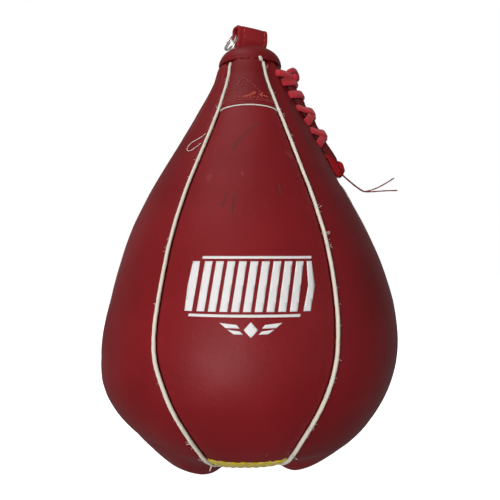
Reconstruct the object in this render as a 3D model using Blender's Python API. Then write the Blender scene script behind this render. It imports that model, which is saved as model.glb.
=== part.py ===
"""A laced speed bag, the small pear-shaped boxing bag that hangs from a swivel.

Frame: metres, +Z up. The origin is the middle of the hang loop's inner top face, which is
what the swivel's hook carries, and the bag hangs below it. -Y is the front panel's side.
Azimuths are in degrees, from -Y (0) towards +X (90).

Pieces: six panels with a welt in each seam, a facing on the front panel's neck, a domed
collar, the hang loop with a split ring in its back leg, the crown disc that anchors the
loop, a laced slit with its tongue, a lining, a bladder with its valve, a bottom disc and
the woven label.
"""

import math

import bmesh
import bpy
from mathutils import Matrix, Vector

GAP = 0.0003  # clearance between touching pieces

# The bag's outline: radius and height of the panels' outer face, from under the collar to the pole
OUTLINE = (
    (0.0160, -0.0215),
    (0.0170, -0.0243),
    (0.0196, -0.0264),
    (0.0228, -0.0360),
    (0.0308, -0.0510),
    (0.0431, -0.0725),
    (0.0627, -0.1074),
    (0.0789, -0.1436),
    (0.0889, -0.1840),
    (0.0883, -0.2100),
    (0.0775, -0.2340),
    (0.0600, -0.2520),
    (0.0440, -0.2640),
    (0.0330, -0.2675),
    (0.0200, -0.2650),
    (0.0040, -0.2600),  # the panels' tips leave this radius open
)
OUTLINE_STEPS = 12  # steps of the smooth curve between each two of those
LEATHER = 0.0016  # thickness of a panel
PINCH = 0.0012  # how far a panel dips at its seams
FRONT_LIFT = 0.0080  # how far the front panel's foot is drawn up
FRONT_LIFT_ENDS = (31.0, 44.0)  # azimuth where the lift is full, and where it is gone
LIFT_RADII = (0.070, 0.042, 0.020)  # radius where the lift starts, is full, and starts to fall again
LIFT_BELOW = -0.2000  # only the foot is lifted

# Seams in order round the bag: (height, azimuth) along each
SEAMS = (
    (
        (-0.024, -37.5),
        (-0.051, -32.6),
        (-0.0725, -32.4),
        (-0.1074, -33.5),
        (-0.1436, -33.4),
        (-0.184, -32.6),
        (-0.210, -27.2),
        (-0.234, -21.8),
        (-0.252, -20.0),
        (-0.264, -23.0),
    ),
    (
        (-0.024, 23.4),
        (-0.051, 27.8),
        (-0.0725, 30.4),
        (-0.1074, 32.0),
        (-0.1436, 31.2),
        (-0.184, 28.9),
        (-0.210, 24.7),
        (-0.234, 19.3),
        (-0.252, 17.6),
        (-0.264, 20.5),
    ),
    ((-0.024, 80.0), (-0.100, 84.0), (-0.160, 90.0)),
    ((-0.024, 150.0),),
    ((-0.024, 210.0),),
    ((-0.024, 270.0),),
)
PANELS = ("front", "front_right", "back_right", "back", "back_left", "front_left")
WELTS = ("front_left", "front_right", "right", "back_right", "back_left", "left")
SLIT_SEAM = 2  # the right seam, which the lacing closes
WELT_RADIUS = 0.0011
WELT_TOP = -0.0252
WELT_END_RADIUS = 0.0060  # how close to the pole a welt comes
WIDEST_EDGE = 0.94  # a panel's edge stays this share of the radius or less from its seam

# Laced slit in the right seam
SLIT_TOP = -0.0290
SLIT_BOTTOM = -0.0990
SLIT_HALF_WIDTH = 0.0036
SLIT_RAMP = 0.0060  # length over which the slit opens
TONGUE_HALF_WIDTH = 0.0031
TONGUE_RISE = 0.0030  # how far the tongue stands out of the slit under the lace
TONGUE_TAB_RISE = 0.0055  # and at its loose lower end
TONGUE_TAB = (-0.0770, -0.0860)  # heights where it starts to rise, and has risen
TONGUE_DEPTH = 0.0024  # how far it reaches in behind the panels' outer face
TONGUE_END_SWELL = 0.45  # its girth at its ends, as a share of the rest
TONGUE_END_SHARE = 0.12  # and the share of its length over which that grows
TONGUE_TOP = -0.0300
TONGUE_BOTTOM = -0.0925
LACE_RADIUS = 0.0009
LACE_HOLE_RADIUS = 0.0017
LACE_HOLE_OFFSET = 0.0080  # from the seam's line to the middle of a hole
LACE_NEAR = (-0.0300, -0.0355, -0.0440, -0.0510, -0.0585, -0.0650, -0.0720)  # holes in the front panel
LACE_FAR = (-0.0305, -0.0370, -0.0450, -0.0530, -0.0568, -0.0668, -0.0706)  # holes in the back panel
LACE_OVER = 0.0046  # height of the lace's middle over the slit
LACE_UNDER = 0.0031  # depth of its middle under the panels' outer face
LACE_ARCH = ((0.08, 0.5), (0.25, 0.92), (0.5, 1.0), (0.75, 0.92), (0.92, 0.5))  # (share across, of LACE_OVER)
LACE_END = 0.0074  # height of its loose end, which doubles back over the first crossing
LACE_END_UP = 0.0008  # how far above that crossing the loose end lies
LACE_END_ROUTE = ((0.0040, 1.0), (0.0, 1.0), (-0.0042, 0.9), (-0.0078, 0.5))  # (aside, share of LACE_END)
LACE_CUT_REACH = 0.0040  # how far the tool for a hole reaches to each side of the panel's face

# Facing on the front panel's neck
FACING_TOP = -0.0250
FACING_BOTTOM = -0.0550
FACING_DROP = 0.0020  # how much lower its edge is at the seams
FACING_THICK = 0.0009
FACING_INSET = 0.015  # share of the panel's width that it leaves free at each side
EDGE_CORD_RADIUS = 0.0005
EDGE_CORD_INSET = 0.03

# Collar, crown disc and hang loop. The heights here, as above, are in the sewing pattern's own frame
COLLAR_RADIUS = 0.0194
COLLAR_BOTTOM = -0.0236
COLLAR_HEIGHT = 0.0117
COLLAR_THICK = 0.0021
COLLAR_POWER = 2.1  # of the dome's section: 2 is round, and more is flatter on top
COLLAR_END = 0.97  # share of the dome's quarter turn, which stops short of the axis
CROWN_RADIUS = 0.0130
CROWN_TOP = -0.0180
CROWN_THICK = 0.0020
LOOP_TOP = -0.0016  # the loop's inner top face. main() lifts the whole part so that this is at zero
LOOP_YAW = 30.0  # the strap's width direction, from +X towards +Y
LOOP_WIDTH = 0.0210
LOOP_PLY = 0.0018
LOOP_HALF_GAP = 0.0025
LOOP_ROOT_HALF_GAP = 0.0005
LOOP_WAIST = -0.0080  # where the legs start to close up
LOOP_ROOT = -0.0114  # where they have closed up, above the collar
LOOP_FOOT = -0.0210
LOOP_INNER_CORNER = 0.0010
SLOT_CUT_HEIGHT = 0.0300  # height of the tool that cuts the strap's slots

# Split ring through the hole in the loop's back leg
RING_HOLE_RADIUS = 0.0014
RING_HOLE_FROM_EDGE = 0.0022
RING_HOLE_HEIGHT = -0.0040
RING_RADIUS = 0.0053
RING_WIRE = 0.00048  # radius of its wire
RING_PITCH = 0.00108
RING_TURNS = 2
RING_HANG = 26.0  # degrees from straight down towards the strap's left edge
RING_BACKSET = 0.0015  # the ring's middle lies this far behind the leg's

# Inside
LINING_DEPTH = 0.0060
LINING_THICK = 0.0005
LINING_TOP = -0.0260
BLADDER_DEPTH = 0.0075
BLADDER_THICK = 0.0006
BLADDER_SHOULDER = -0.0480
BLADDER_NECK_HEIGHT = 0.0060
BLADDER_SHOULDER_ROWS = 3
VALVE_HOLE_RADIUS = 0.0036
VALVE_RADIUS = 0.0032
VALVE_FLANGE_RADIUS = 0.0060
VALVE_BORE = 0.0013
VALVE_FLANGE = 0.0012  # thickness of a flange
VALVE_FLANGE_STEP = 0.0010  # how much smaller the inner flange is
VALVE_TAIL = 0.0040  # how far the valve reaches in past its inner flange
VALVE_HEAD = 0.0050  # how far it stands up
VALVE_PLUG_RADIUS = 0.0009
VALVE_PLUG_LENGTH = 0.0080
VALVE_CAP_RADIUS = 0.0024
VALVE_CAP_THICK = 0.0010
BOTTOM_DISC_DEPTH = 0.0038
BOTTOM_DISC_THICK = 0.0008
BOTTOM_DISC_RADIUS = 0.0330

# Woven label across the front panel's foot
LABEL_RADII = (0.0670, 0.0530)  # the panel's radius at the label's upper and lower edge
LABEL_THICK = 0.0008
LABEL_INSET = 0.02

# Two strands of loose thread at the slit's lower end: (x, y, z) along each
THREAD_RADIUS = 0.0004
THREAD_A = (
    (0.0567, -0.0060, -0.0918),
    (0.0604, -0.0062, -0.0951),
    (0.0643, -0.0064, -0.0984),
    (0.0681, -0.0066, -0.1011),
    (0.0705, -0.0068, -0.1020),
    (0.0751, -0.0070, -0.1020),
    (0.0822, -0.0072, -0.1015),
    (0.0901, -0.0074, -0.1013),
)
THREAD_B = (
    (0.0567, -0.0072, -0.0918),
    (0.0604, -0.0074, -0.0951),
    (0.0643, -0.0076, -0.0984),
    (0.0681, -0.0078, -0.1011),
    (0.0705, -0.0081, -0.1019),
    (0.0754, -0.0087, -0.1007),
    (0.0809, -0.0094, -0.0981),
    (0.0874, -0.0099, -0.0941),
)

# How finely each piece's mesh is divided
SHARP_ANGLE = 40.0  # edges above this many degrees stay sharp
PANEL_COLUMNS = 6
PANEL_ROW = 0.015  # longest step of a panel's mesh down the bag
FACING_ROW = 0.010  # of the facing's
INNER_ROW = 0.030  # and of the lining's and the bladder's
SHORT_STEP = 0.02  # a row this close to a piece's end is left out, as a share of the outline
ROUND_COLUMNS = 24
DISC_COLUMNS = 36
WELT_ROW = 0.008
EDGE_CORD_STEPS = 12
LABEL_COLUMNS = 8
LABEL_ROWS = 3
TONGUE_ROWS = 14
TONGUE_SIDES = 10
HOLE_SIDES = 10
RING_HOLE_SIDES = 16
COLLAR_STEPS = 6
COLLAR_SEGMENTS = 32
CROWN_SEGMENTS = 28
LOOP_OUTER_STEPS = 5
LOOP_INNER_STEPS = 3
RING_STEPS = 20  # for each turn of the wire
RING_SIDES = 6
VALVE_SEGMENTS = 20
THREAD_STEPS = 3


# ---------------------------------------------------------------- helpers


def clear_scene():
    for old in list(bpy.data.objects):
        bpy.data.objects.remove(old, do_unlink=True)


def material(name, colour, roughness, metallic=0.0):
    """A Principled material, made once."""
    found = bpy.data.materials.get(name)
    if found:
        return found
    made = bpy.data.materials.new(name)
    made.use_nodes = True
    shader = made.node_tree.nodes["Principled BSDF"]
    shader.inputs["Base Color"].default_value = (*colour, 1.0)
    shader.inputs["Roughness"].default_value = roughness
    shader.inputs["Metallic"].default_value = metallic
    return made


def leather():
    return material("red_leather", (0.24, 0.022, 0.028), 0.45)


def piping():
    return material("ivory_piping", (0.83, 0.79, 0.63), 0.7)


def lace_fabric():
    return material("bright_red_lace", (0.46, 0.035, 0.045), 0.75)


def thread():
    return material("red_thread", (0.40, 0.07, 0.07), 0.7)


def steel():
    return material("nickel_steel", (0.56, 0.55, 0.50), 0.3, 1.0)


def rubber():
    return material("black_rubber", (0.02, 0.02, 0.022), 0.55)


def cotton():
    return material("cotton_lining", (0.62, 0.58, 0.48), 0.9)


def yellow_weave():
    return material("yellow_weave", (0.72, 0.58, 0.04), 0.8)


def fraction(value, start, end):
    """0 at start, 1 at end, smooth between."""
    t = min(max((value - start) / (end - start), 0.0), 1.0)
    return t * t * (3.0 - 2.0 * t)


def smooth_curve(points, steps):
    """A Catmull-Rom curve through the points, with this many steps between each two."""
    known = [Vector(p) for p in points]
    known = [2 * known[0] - known[1], *known, 2 * known[-1] - known[-2]]
    curve = []
    for before, start, end, after in zip(known, known[1:], known[2:], known[3:]):
        for i in range(steps):
            t = i / steps
            curve.append(
                0.5
                * (
                    2 * start
                    + (end - before) * t
                    + (2 * before - 5 * start + 4 * end - after) * t * t
                    + (3 * start - before - 3 * end + after) * t**3
                )
            )
    curve.append(known[-2])
    return curve


def interpolate(table, value):
    """The second number of a table of pairs, where its first falls to value."""
    if value >= table[0][0]:
        return table[0][1]
    for (high, a), (low, b) in zip(table, table[1:]):
        if value >= low:
            return a + (b - a) * (high - value) / (high - low)
    return table[-1][1]


def add_object(name, mesh_or_curve, surface, place=(0.0, 0.0, 0.0)):
    made = bpy.data.objects.new(name, mesh_or_curve)
    made.location = place
    mesh_or_curve.materials.append(surface)
    bpy.context.collection.objects.link(made)
    return made


def add_mesh(name, vertices, faces, surface, place=(0.0, 0.0, 0.0)):
    """A closed mesh as an object, with its faces turned outwards and its curves smooth."""
    mesh = bpy.data.meshes.new(name)
    shape = bmesh.new()
    points = [shape.verts.new(v) for v in vertices]
    for face in faces:
        shape.faces.new([points[i] for i in face])
    bmesh.ops.recalc_face_normals(shape, faces=shape.faces)
    shape.to_mesh(mesh)
    shape.free()
    mesh.shade_smooth()
    mesh.set_sharp_from_angle(angle=math.radians(SHARP_ANGLE))
    return add_object(name, mesh, surface, place)


def sheet(name, point, columns, rows, surface, closed=False, capped=False):
    """A sheet with a thickness. point(u, v, face) gives its outer (face 0) and inner (1) surface.

    A closed sheet joins its last column to its first, and a capped one has no hole at its last row.
    """
    across = columns if closed else columns + 1
    vertices = [
        point(i / columns, j / rows, face)
        for face in (0, 1)
        for j in range(rows + 1)
        for i in range(across)
    ]
    inner = across * (rows + 1)
    faces = []

    def quad(a, b, c, d):
        faces.append((a, b, c, d))

    for j in range(rows):
        for i in range(columns):
            a, b = j * across + i, j * across + (i + 1) % across
            quad(a, b, b + across, a + across)
            quad(a + inner, a + across + inner, b + across + inner, b + inner)
    rims = [0] if capped else [0, rows * across]
    for start in rims:
        for i in range(columns):
            a, b = start + i, start + (i + 1) % across
            quad(a, b, b + inner, a + inner)
    if capped:
        last = [rows * across + i for i in range(across)]
        faces.append(tuple(last))
        faces.append(tuple(i + inner for i in last))
    if not closed:
        for j in range(rows):
            for a in (j * across, j * across + columns):
                quad(a, a + across, a + across + inner, a + inner)
    return add_mesh(name, vertices, faces, surface)


def lofted(name, rings, surface, place=(0.0, 0.0, 0.0), closed=False):
    """A solid through rings of points that all have the same count."""
    count = len(rings[0])
    vertices = [p for ring in rings for p in ring]
    faces = []
    last = len(rings) if closed else len(rings) - 1
    for j in range(last):
        after = (j + 1) % len(rings)
        for i in range(count):
            k = (i + 1) % count
            faces.append((j * count + i, j * count + k, after * count + k, after * count + i))
    if not closed:
        faces.append(tuple(range(count)))
        faces.append(tuple((len(rings) - 1) * count + i for i in range(count)))
    return add_mesh(name, vertices, faces, surface, place)


def turned(name, profile, segments, surface, place=(0.0, 0.0, 0.0)):
    """A closed profile of (radius, height) off the axis, turned round Z."""
    rings = []
    for i in range(segments):
        turn = 2 * math.pi * i / segments
        rings.append([(r * math.cos(turn), r * math.sin(turn), z) for r, z in profile])
    return lofted(name, rings, surface, place, closed=True)


def turned_solid(name, profile, segments, surface, place=(0.0, 0.0, 0.0)):
    """A stack of discs, (radius, height) from its foot to its top."""
    rings = []
    for r, z in profile:
        turns = [2 * math.pi * i / segments for i in range(segments)]
        rings.append([(r * math.cos(a), r * math.sin(a), z) for a in turns])
    return lofted(name, rings, surface, place)


def tube(name, points, radius, surface):
    """A round tube along the points, as a curve with filled caps."""
    curve = bpy.data.curves.new(name, "CURVE")
    curve.dimensions = "3D"
    spline = curve.splines.new("POLY")
    spline.points.add(len(points) - 1)
    for spot, p in zip(spline.points, points):
        spot.co = (*p, 1.0)
    curve.bevel_depth = radius
    curve.bevel_resolution = 1
    curve.use_fill_caps = True
    return add_object(name, curve, surface)


def cutter(made):
    made.hide_render = True
    made.display_type = "WIRE"
    return made


def cut(target, tool):
    boolean = target.modifiers.new("cut_" + tool.name, "BOOLEAN")
    boolean.operation = "DIFFERENCE"
    boolean.solver = "EXACT"
    boolean.object = tool


# ---------------------------------------------------------------- the bag's surface


CURVE = smooth_curve(OUTLINE, OUTLINE_STEPS)
RUN = [0.0]
for first, second in zip(CURVE, CURVE[1:]):
    RUN.append(RUN[-1] + (second - first).length)
LENGTH = RUN[-1]


def outline(along):
    """Radius, height and outward normal of the outline at this fraction of its length."""
    want = min(max(along, 0.0), 1.0) * LENGTH
    i = 0
    while i < len(RUN) - 2 and RUN[i + 1] < want:
        i += 1
    t = (want - RUN[i]) / (RUN[i + 1] - RUN[i])
    spot = CURVE[i].lerp(CURVE[i + 1], t)
    before, after = CURVE[max(i - 2, 0)], CURVE[min(i + 3, len(CURVE) - 1)]
    run = (after - before).normalized()
    return spot.x, spot.y, Vector((-run.y, run.x))


LOWEST = min(range(len(CURVE)), key=lambda i: CURVE[i].y)


def along_at_height(z):
    """The fraction of the outline where it comes down to this height."""
    for i in range(LOWEST):
        if CURVE[i + 1].y <= z:
            t = (CURVE[i].y - z) / (CURVE[i].y - CURVE[i + 1].y)
            return (RUN[i] + t * (RUN[i + 1] - RUN[i])) / LENGTH
    return RUN[LOWEST] / LENGTH


def along_at_radius(radius):
    """The fraction of the outline, on its way in to the pole, where it has this radius."""
    for i in range(len(CURVE) - 1, 0, -1):
        if CURVE[i - 1].x >= radius:
            t = (radius - CURVE[i].x) / (CURVE[i - 1].x - CURVE[i].x)
            return (RUN[i] - t * (RUN[i] - RUN[i - 1])) / LENGTH
    return 1.0


def stations(longest):
    """Fractions of the outline's length for rows of points, at most this far apart."""
    rows = []
    for i in range(0, len(CURVE) - 1, OUTLINE_STEPS):
        span = RUN[i + OUTLINE_STEPS] - RUN[i]
        parts = math.ceil(span / longest)
        rows += [(RUN[i] + span * part / parts) / LENGTH for part in range(parts)]
    return [*rows, 1.0]


def stations_from(along, longest):
    """This fraction, and the stations that follow it by more than a short step."""
    return [along, *(row for row in stations(longest) if row > along + SHORT_STEP)]


def front_lift(azimuth, radius, height):
    """How far the foot is drawn up at the front."""
    if height > LIFT_BELOW:
        return 0.0
    turn = abs((azimuth + 180.0) % 360.0 - 180.0)
    start, full, fall = LIFT_RADII
    side = 1.0 - fraction(turn, *FRONT_LIFT_ENDS)
    return FRONT_LIFT * side * fraction(radius, start, full) * fraction(radius, 0.0, fall)


def on_bag(azimuth, along, out=0.0):
    """A point on the bag's outer face, or this far outside it."""
    radius, height, normal = outline(along)
    lift = front_lift(azimuth, radius, height)
    radius += out * normal.x
    turn = math.radians(azimuth)
    return Vector((radius * math.sin(turn), -radius * math.cos(turn), height + out * normal.y + lift))


def seam_azimuth(seam, along):
    height = outline(along)[1]
    if along * LENGTH > RUN[LOWEST]:
        height = CURVE[LOWEST].y
    turns = seam // len(SEAMS)
    return interpolate(SEAMS[seam % len(SEAMS)], height) + 360.0 * turns


def slit_open(along):
    """How far the slit is open here, from 0 to 1."""
    height = outline(along)[1]
    top = 1.0 - fraction(height, SLIT_TOP - SLIT_RAMP, SLIT_TOP)
    return top * fraction(height, SLIT_BOTTOM, SLIT_BOTTOM + SLIT_RAMP)


def edge_clearance(seam, along):
    """Degrees between a seam's line and the panel's edge beside it."""
    radius, height, _ = outline(along)
    half = WELT_RADIUS + GAP
    if seam % len(SEAMS) == SLIT_SEAM:
        half += (SLIT_HALF_WIDTH + GAP - half) * slit_open(along)
    return math.degrees(math.asin(min(half / radius, WIDEST_EDGE)))


def between_seams(panel, u, along):
    """Azimuth at fraction u across a panel, and how near it is to a seam, from 0 to 1."""
    first, second = panel, panel + 1
    left, right = seam_azimuth(first, along), seam_azimuth(second, along)
    start, end = left + edge_clearance(first, along), right - edge_clearance(second, along)
    azimuth = start + (end - start) * u
    nearness = abs(azimuth - (left + right) / 2) / ((right - left) / 2)
    return azimuth, nearness


# ---------------------------------------------------------------- sewn shell


def inset(u, share):
    """Fraction u of a panel's width that stays this share clear of each side."""
    return share + (1.0 - 2.0 * share) * u


def add_panel(panel):
    rows = stations(PANEL_ROW)
    last = len(rows) - 1

    def point(u, v, face):
        along = rows[round(v * last)]
        azimuth, nearness = between_seams(panel, u, along)
        beside_slit = (panel + (u > 0.5)) % len(SEAMS) == SLIT_SEAM
        dip = PINCH * nearness**4
        if beside_slit:
            dip *= 1.0 - slit_open(along)
        return on_bag(azimuth, along, -dip - LEATHER * face)

    return sheet("panel_" + PANELS[panel], point, PANEL_COLUMNS, last, leather())


def add_welt(seam):
    """The ivory cord in a seam. The right one starts below the slit."""
    top = SLIT_BOTTOM if seam == SLIT_SEAM else WELT_TOP
    start, end = along_at_height(top), along_at_radius(WELT_END_RADIUS)
    between = [row for row in stations(WELT_ROW) if start + SHORT_STEP < row < end - SHORT_STEP]
    points = []
    for along in (start, *between, end):
        points.append(on_bag(seam_azimuth(seam, along), along, -PINCH / 2))
    return tube("welt_" + WELTS[seam], points, WELT_RADIUS, piping())


def facing_foot(nearness):
    return along_at_height(FACING_BOTTOM - FACING_DROP * nearness**2)


def add_facing():
    top = along_at_height(FACING_TOP)
    rows = [top, *(row for row in stations(FACING_ROW) if top < row < facing_foot(0.0))]

    def point(u, v, face):
        row = round(v * len(rows))
        along = rows[row] if row < len(rows) else facing_foot(abs(2 * u - 1))
        azimuth, nearness = between_seams(0, inset(u, FACING_INSET), along)
        out = -PINCH * nearness**4 + GAP + FACING_THICK * (1 - face)
        return on_bag(azimuth, along, out)

    return sheet("front_facing", point, PANEL_COLUMNS, len(rows), leather())


def add_facing_edge():
    """The thin white cord along the facing's lower edge."""
    below = (EDGE_CORD_RADIUS + 2 * GAP) / LENGTH
    points = []
    for i in range(EDGE_CORD_STEPS + 1):
        u = inset(i / EDGE_CORD_STEPS, EDGE_CORD_INSET)
        along = facing_foot(abs(2 * u - 1)) + below
        azimuth, nearness = between_seams(0, u, along)
        points.append(on_bag(azimuth, along, EDGE_CORD_RADIUS + GAP - PINCH * nearness**4))
    return tube("facing_edge", points, EDGE_CORD_RADIUS, piping())


def add_label():
    """The woven label, folded over the foot of the front panel."""
    top, foot = (along_at_radius(radius) for radius in LABEL_RADII)

    def point(u, v, face):
        along = top + (foot - top) * v
        azimuth, nearness = between_seams(0, inset(u, LABEL_INSET), along)
        out = -PINCH * nearness**4 + GAP + LABEL_THICK * (1 - face)
        return on_bag(azimuth, along, out)

    return sheet("woven_label", point, LABEL_COLUMNS, LABEL_ROWS, yellow_weave())


# ---------------------------------------------------------------- laced slit


def slit_point(height, aside, out):
    """A point by the slit: this far aside of the seam's line, towards the back, and out of the face."""
    along = along_at_height(height)
    turn = math.degrees(aside / outline(along)[0])
    return on_bag(seam_azimuth(SLIT_SEAM, along) + turn, along, out)


def add_tongue():
    """The padded flap under the lace, which bulges out through the slit."""
    rings = []
    for j in range(TONGUE_ROWS + 1):
        v = j / TONGUE_ROWS
        height = TONGUE_TOP + (TONGUE_BOTTOM - TONGUE_TOP) * v
        swell = TONGUE_END_SWELL + (1.0 - TONGUE_END_SWELL) * fraction(v, 0.0, TONGUE_END_SHARE)
        rise = TONGUE_RISE + (TONGUE_TAB_RISE - TONGUE_RISE) * fraction(height, *TONGUE_TAB)
        ring = []
        for i in range(TONGUE_SIDES):
            turn = 2 * math.pi * i / TONGUE_SIDES
            reach = rise if math.cos(turn) > 0 else TONGUE_DEPTH
            aside = TONGUE_HALF_WIDTH * swell * math.sin(turn)
            ring.append(slit_point(height, aside, reach * swell * math.cos(turn)))
        rings.append(ring)
    return lofted("slit_tongue", rings, leather())


def lace_route():
    """From the loose end, over the tongue from hole to hole and along the slit under the panels."""
    start = LACE_NEAR[0] + LACE_END_UP
    route = [slit_point(start, aside, LACE_END * share) for aside, share in LACE_END_ROUTE]
    for row, (near, far) in enumerate(zip(LACE_NEAR, LACE_FAR)):
        crossing = [(near, -LACE_HOLE_OFFSET), (far, LACE_HOLE_OFFSET)]
        if row % 2:
            crossing.reverse()
        (height, aside), (end_height, end_aside) = crossing
        if row:
            route.append(slit_point(height, aside, -LACE_UNDER))
            route.append(slit_point(height, aside, -LEATHER / 2))
        route.append(slit_point(height, aside, LACE_RADIUS + GAP))
        for share, rise in LACE_ARCH:
            middle = height + (end_height - height) * share
            route.append(slit_point(middle, aside + (end_aside - aside) * share, LACE_OVER * rise))
        route.append(slit_point(end_height, end_aside, LACE_RADIUS + GAP))
        route.append(slit_point(end_height, end_aside, -LEATHER / 2))
        route.append(slit_point(end_height, end_aside, -LACE_UNDER))
    return smooth_curve(route, 2)


def add_lace():
    return tube("lace", lace_route(), LACE_RADIUS, lace_fabric())


def add_lace_holes(panels):
    """A row of holes for the lace in the panel on each side of the slit."""
    rows = ((SLIT_SEAM - 1, LACE_NEAR[1:], -1.0), (SLIT_SEAM, LACE_FAR, 1.0))
    for panel, heights, side in rows:
        for row, height in enumerate(heights):
            reach = (LACE_CUT_REACH, -LACE_CUT_REACH)
            ends = [slit_point(height, LACE_HOLE_OFFSET * side, out) for out in reach]
            name = f"cutter_lace_{PANELS[panel]}_{row}"
            cut(panels[panel], cutter(rod(name, *ends, LACE_HOLE_RADIUS, HOLE_SIDES)))


def rod(name, start, end, radius, sides):
    """A straight rod between two points."""
    turn = (end - start).to_track_quat("Z", "Y")
    rings = []
    for middle in (start, end):
        ring = []
        for i in range(sides):
            angle = 2 * math.pi * i / sides
            ring.append(middle + turn @ Vector((radius * math.cos(angle), radius * math.sin(angle), 0.0)))
        rings.append(ring)
    return lofted(name, rings, leather())


# ---------------------------------------------------------------- crown


def loop_frame():
    """The strap's own axes as a matrix: X across its width, Y to its back leg, Z up."""
    return Matrix.Rotation(math.radians(LOOP_YAW), 4, "Z")


def box_cutter(name, size, place):
    """A box with this size round this middle, in the strap's axes."""
    frame = loop_frame()
    vertices = []
    for x, y, z in ((x, y, z) for x in (-0.5, 0.5) for y in (-0.5, 0.5) for z in (-0.5, 0.5)):
        corner = Vector((x * size[0] + place[0], y * size[1] + place[1], z * size[2] + place[2]))
        vertices.append(frame @ corner)
    faces = [(0, 1, 3, 2), (4, 6, 7, 5), (0, 4, 5, 1), (2, 3, 7, 6), (0, 2, 6, 4), (1, 5, 7, 3)]
    return cutter(add_mesh(name, vertices, faces, leather()))


def slot_cutter(name):
    """Cuts the slot that the strap's two legs pass through."""
    across = LOOP_WIDTH + 2 * GAP
    deep = 2 * (LOOP_ROOT_HALF_GAP + LOOP_PLY + GAP)
    return box_cutter(name, (across, deep, SLOT_CUT_HEIGHT), (0.0, 0.0, LOOP_FOOT))


def dome(radius, height, steps):
    """Points of a flattened dome, from its edge almost to its top."""
    points = []
    for i in range(steps + 1):
        turn = 0.5 * math.pi * i / steps * COLLAR_END
        points.append(
            (
                radius * math.cos(turn) ** (2 / COLLAR_POWER),
                COLLAR_BOTTOM + height * math.sin(turn) ** (2 / COLLAR_POWER),
            )
        )
    return points


def add_collar():
    outer = dome(COLLAR_RADIUS, COLLAR_HEIGHT, COLLAR_STEPS)
    inner = dome(COLLAR_RADIUS - COLLAR_THICK, COLLAR_HEIGHT - COLLAR_THICK, COLLAR_STEPS)
    made = turned("collar", outer + inner[::-1], COLLAR_SEGMENTS, leather())
    cut(made, slot_cutter("cutter_collar_slot"))
    return made


def add_crown_disc():
    made = turned_solid(
        "crown_disc",
        ((CROWN_RADIUS, CROWN_TOP - CROWN_THICK), (CROWN_RADIUS, CROWN_TOP)),
        CROWN_SEGMENTS,
        cotton(),
    )
    cut(made, slot_cutter("cutter_crown_slot"))
    return made


def loop_outline():
    """The strap's section, (out of its middle plane, height): outside up and over, inside back."""
    ply, half, root = LOOP_PLY, LOOP_HALF_GAP, LOOP_ROOT_HALF_GAP
    corner = LOOP_INNER_CORNER
    outer, inner = [], []
    for legs, add in ((outer, ply), (inner, 0.0)):
        legs.append((root + add, LOOP_FOOT))
        legs.append((root + add, LOOP_ROOT))
        legs.append((half + add, LOOP_WAIST))
        radius = corner + add
        steps = LOOP_OUTER_STEPS if add else LOOP_INNER_STEPS
        for i in range(steps + 1):
            turn = 0.5 * math.pi * i / steps
            legs.append(
                (half - corner + radius * math.cos(turn), LOOP_TOP - corner + radius * math.sin(turn))
            )
    outside = outer + [(-y, z) for y, z in outer[::-1]]
    return outside + [(-y, z) for y, z in inner] + inner[::-1]


def add_hang_loop():
    frame = loop_frame()
    rings = []
    for x in (-LOOP_WIDTH / 2, LOOP_WIDTH / 2):
        rings.append([frame @ Vector((x, y, z)) for y, z in loop_outline()])
    made = lofted("hang_loop", rings, leather())
    middle = ring_hole_middle()
    through = frame.to_3x3() @ Vector((0.0, LOOP_PLY, 0.0))
    hole = rod("cutter_ring_hole", middle - through, middle + through, RING_HOLE_RADIUS, RING_HOLE_SIDES)
    cut(made, cutter(hole))
    return made


def ring_hole_middle():
    """The middle of the hole in the back leg, which is the ring's hinge point."""
    across = -LOOP_WIDTH / 2 + RING_HOLE_FROM_EDGE
    return loop_frame() @ Vector((across, LOOP_HALF_GAP + LOOP_PLY / 2, RING_HOLE_HEIGHT))


def add_split_ring():
    """Two close turns of wire, through the hole and round the strap's left edge."""
    frame = loop_frame().to_3x3()
    hang = math.radians(RING_HANG)
    down = frame @ Vector((-math.sin(hang), 0.0, -math.cos(hang)))
    back = frame @ Vector((0.0, 1.0, 0.0))
    axis = down.cross(back)
    reach = math.sqrt(RING_RADIUS**2 - RING_BACKSET**2)
    middle = down * reach + back * RING_BACKSET
    steps = RING_STEPS * RING_TURNS
    rings = []
    for j in range(steps + 1):
        turn = 2 * math.pi * RING_TURNS * j / steps
        radial = math.cos(turn) * down + math.sin(turn) * back
        aside = RING_PITCH * RING_TURNS * (j / steps - 0.5)
        spot = middle + RING_RADIUS * radial + aside * axis
        ring = []
        for i in range(RING_SIDES):
            angle = 2 * math.pi * i / RING_SIDES
            ring.append(spot + RING_WIRE * (math.cos(angle) * radial + math.sin(angle) * axis))
        rings.append(ring)
    return lofted("split_ring", rings, steel(), ring_hole_middle())


# ---------------------------------------------------------------- inside


def add_lining():
    rows = stations_from(along_at_height(LINING_TOP), INNER_ROW)
    last = len(rows) - 1

    def point(u, v, face):
        depth = LINING_DEPTH + LINING_THICK * face
        return on_bag(360.0 * u, rows[round(v * last)], -depth)

    return sheet("lining", point, ROUND_COLUMNS, last, cotton(), closed=True)


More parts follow.
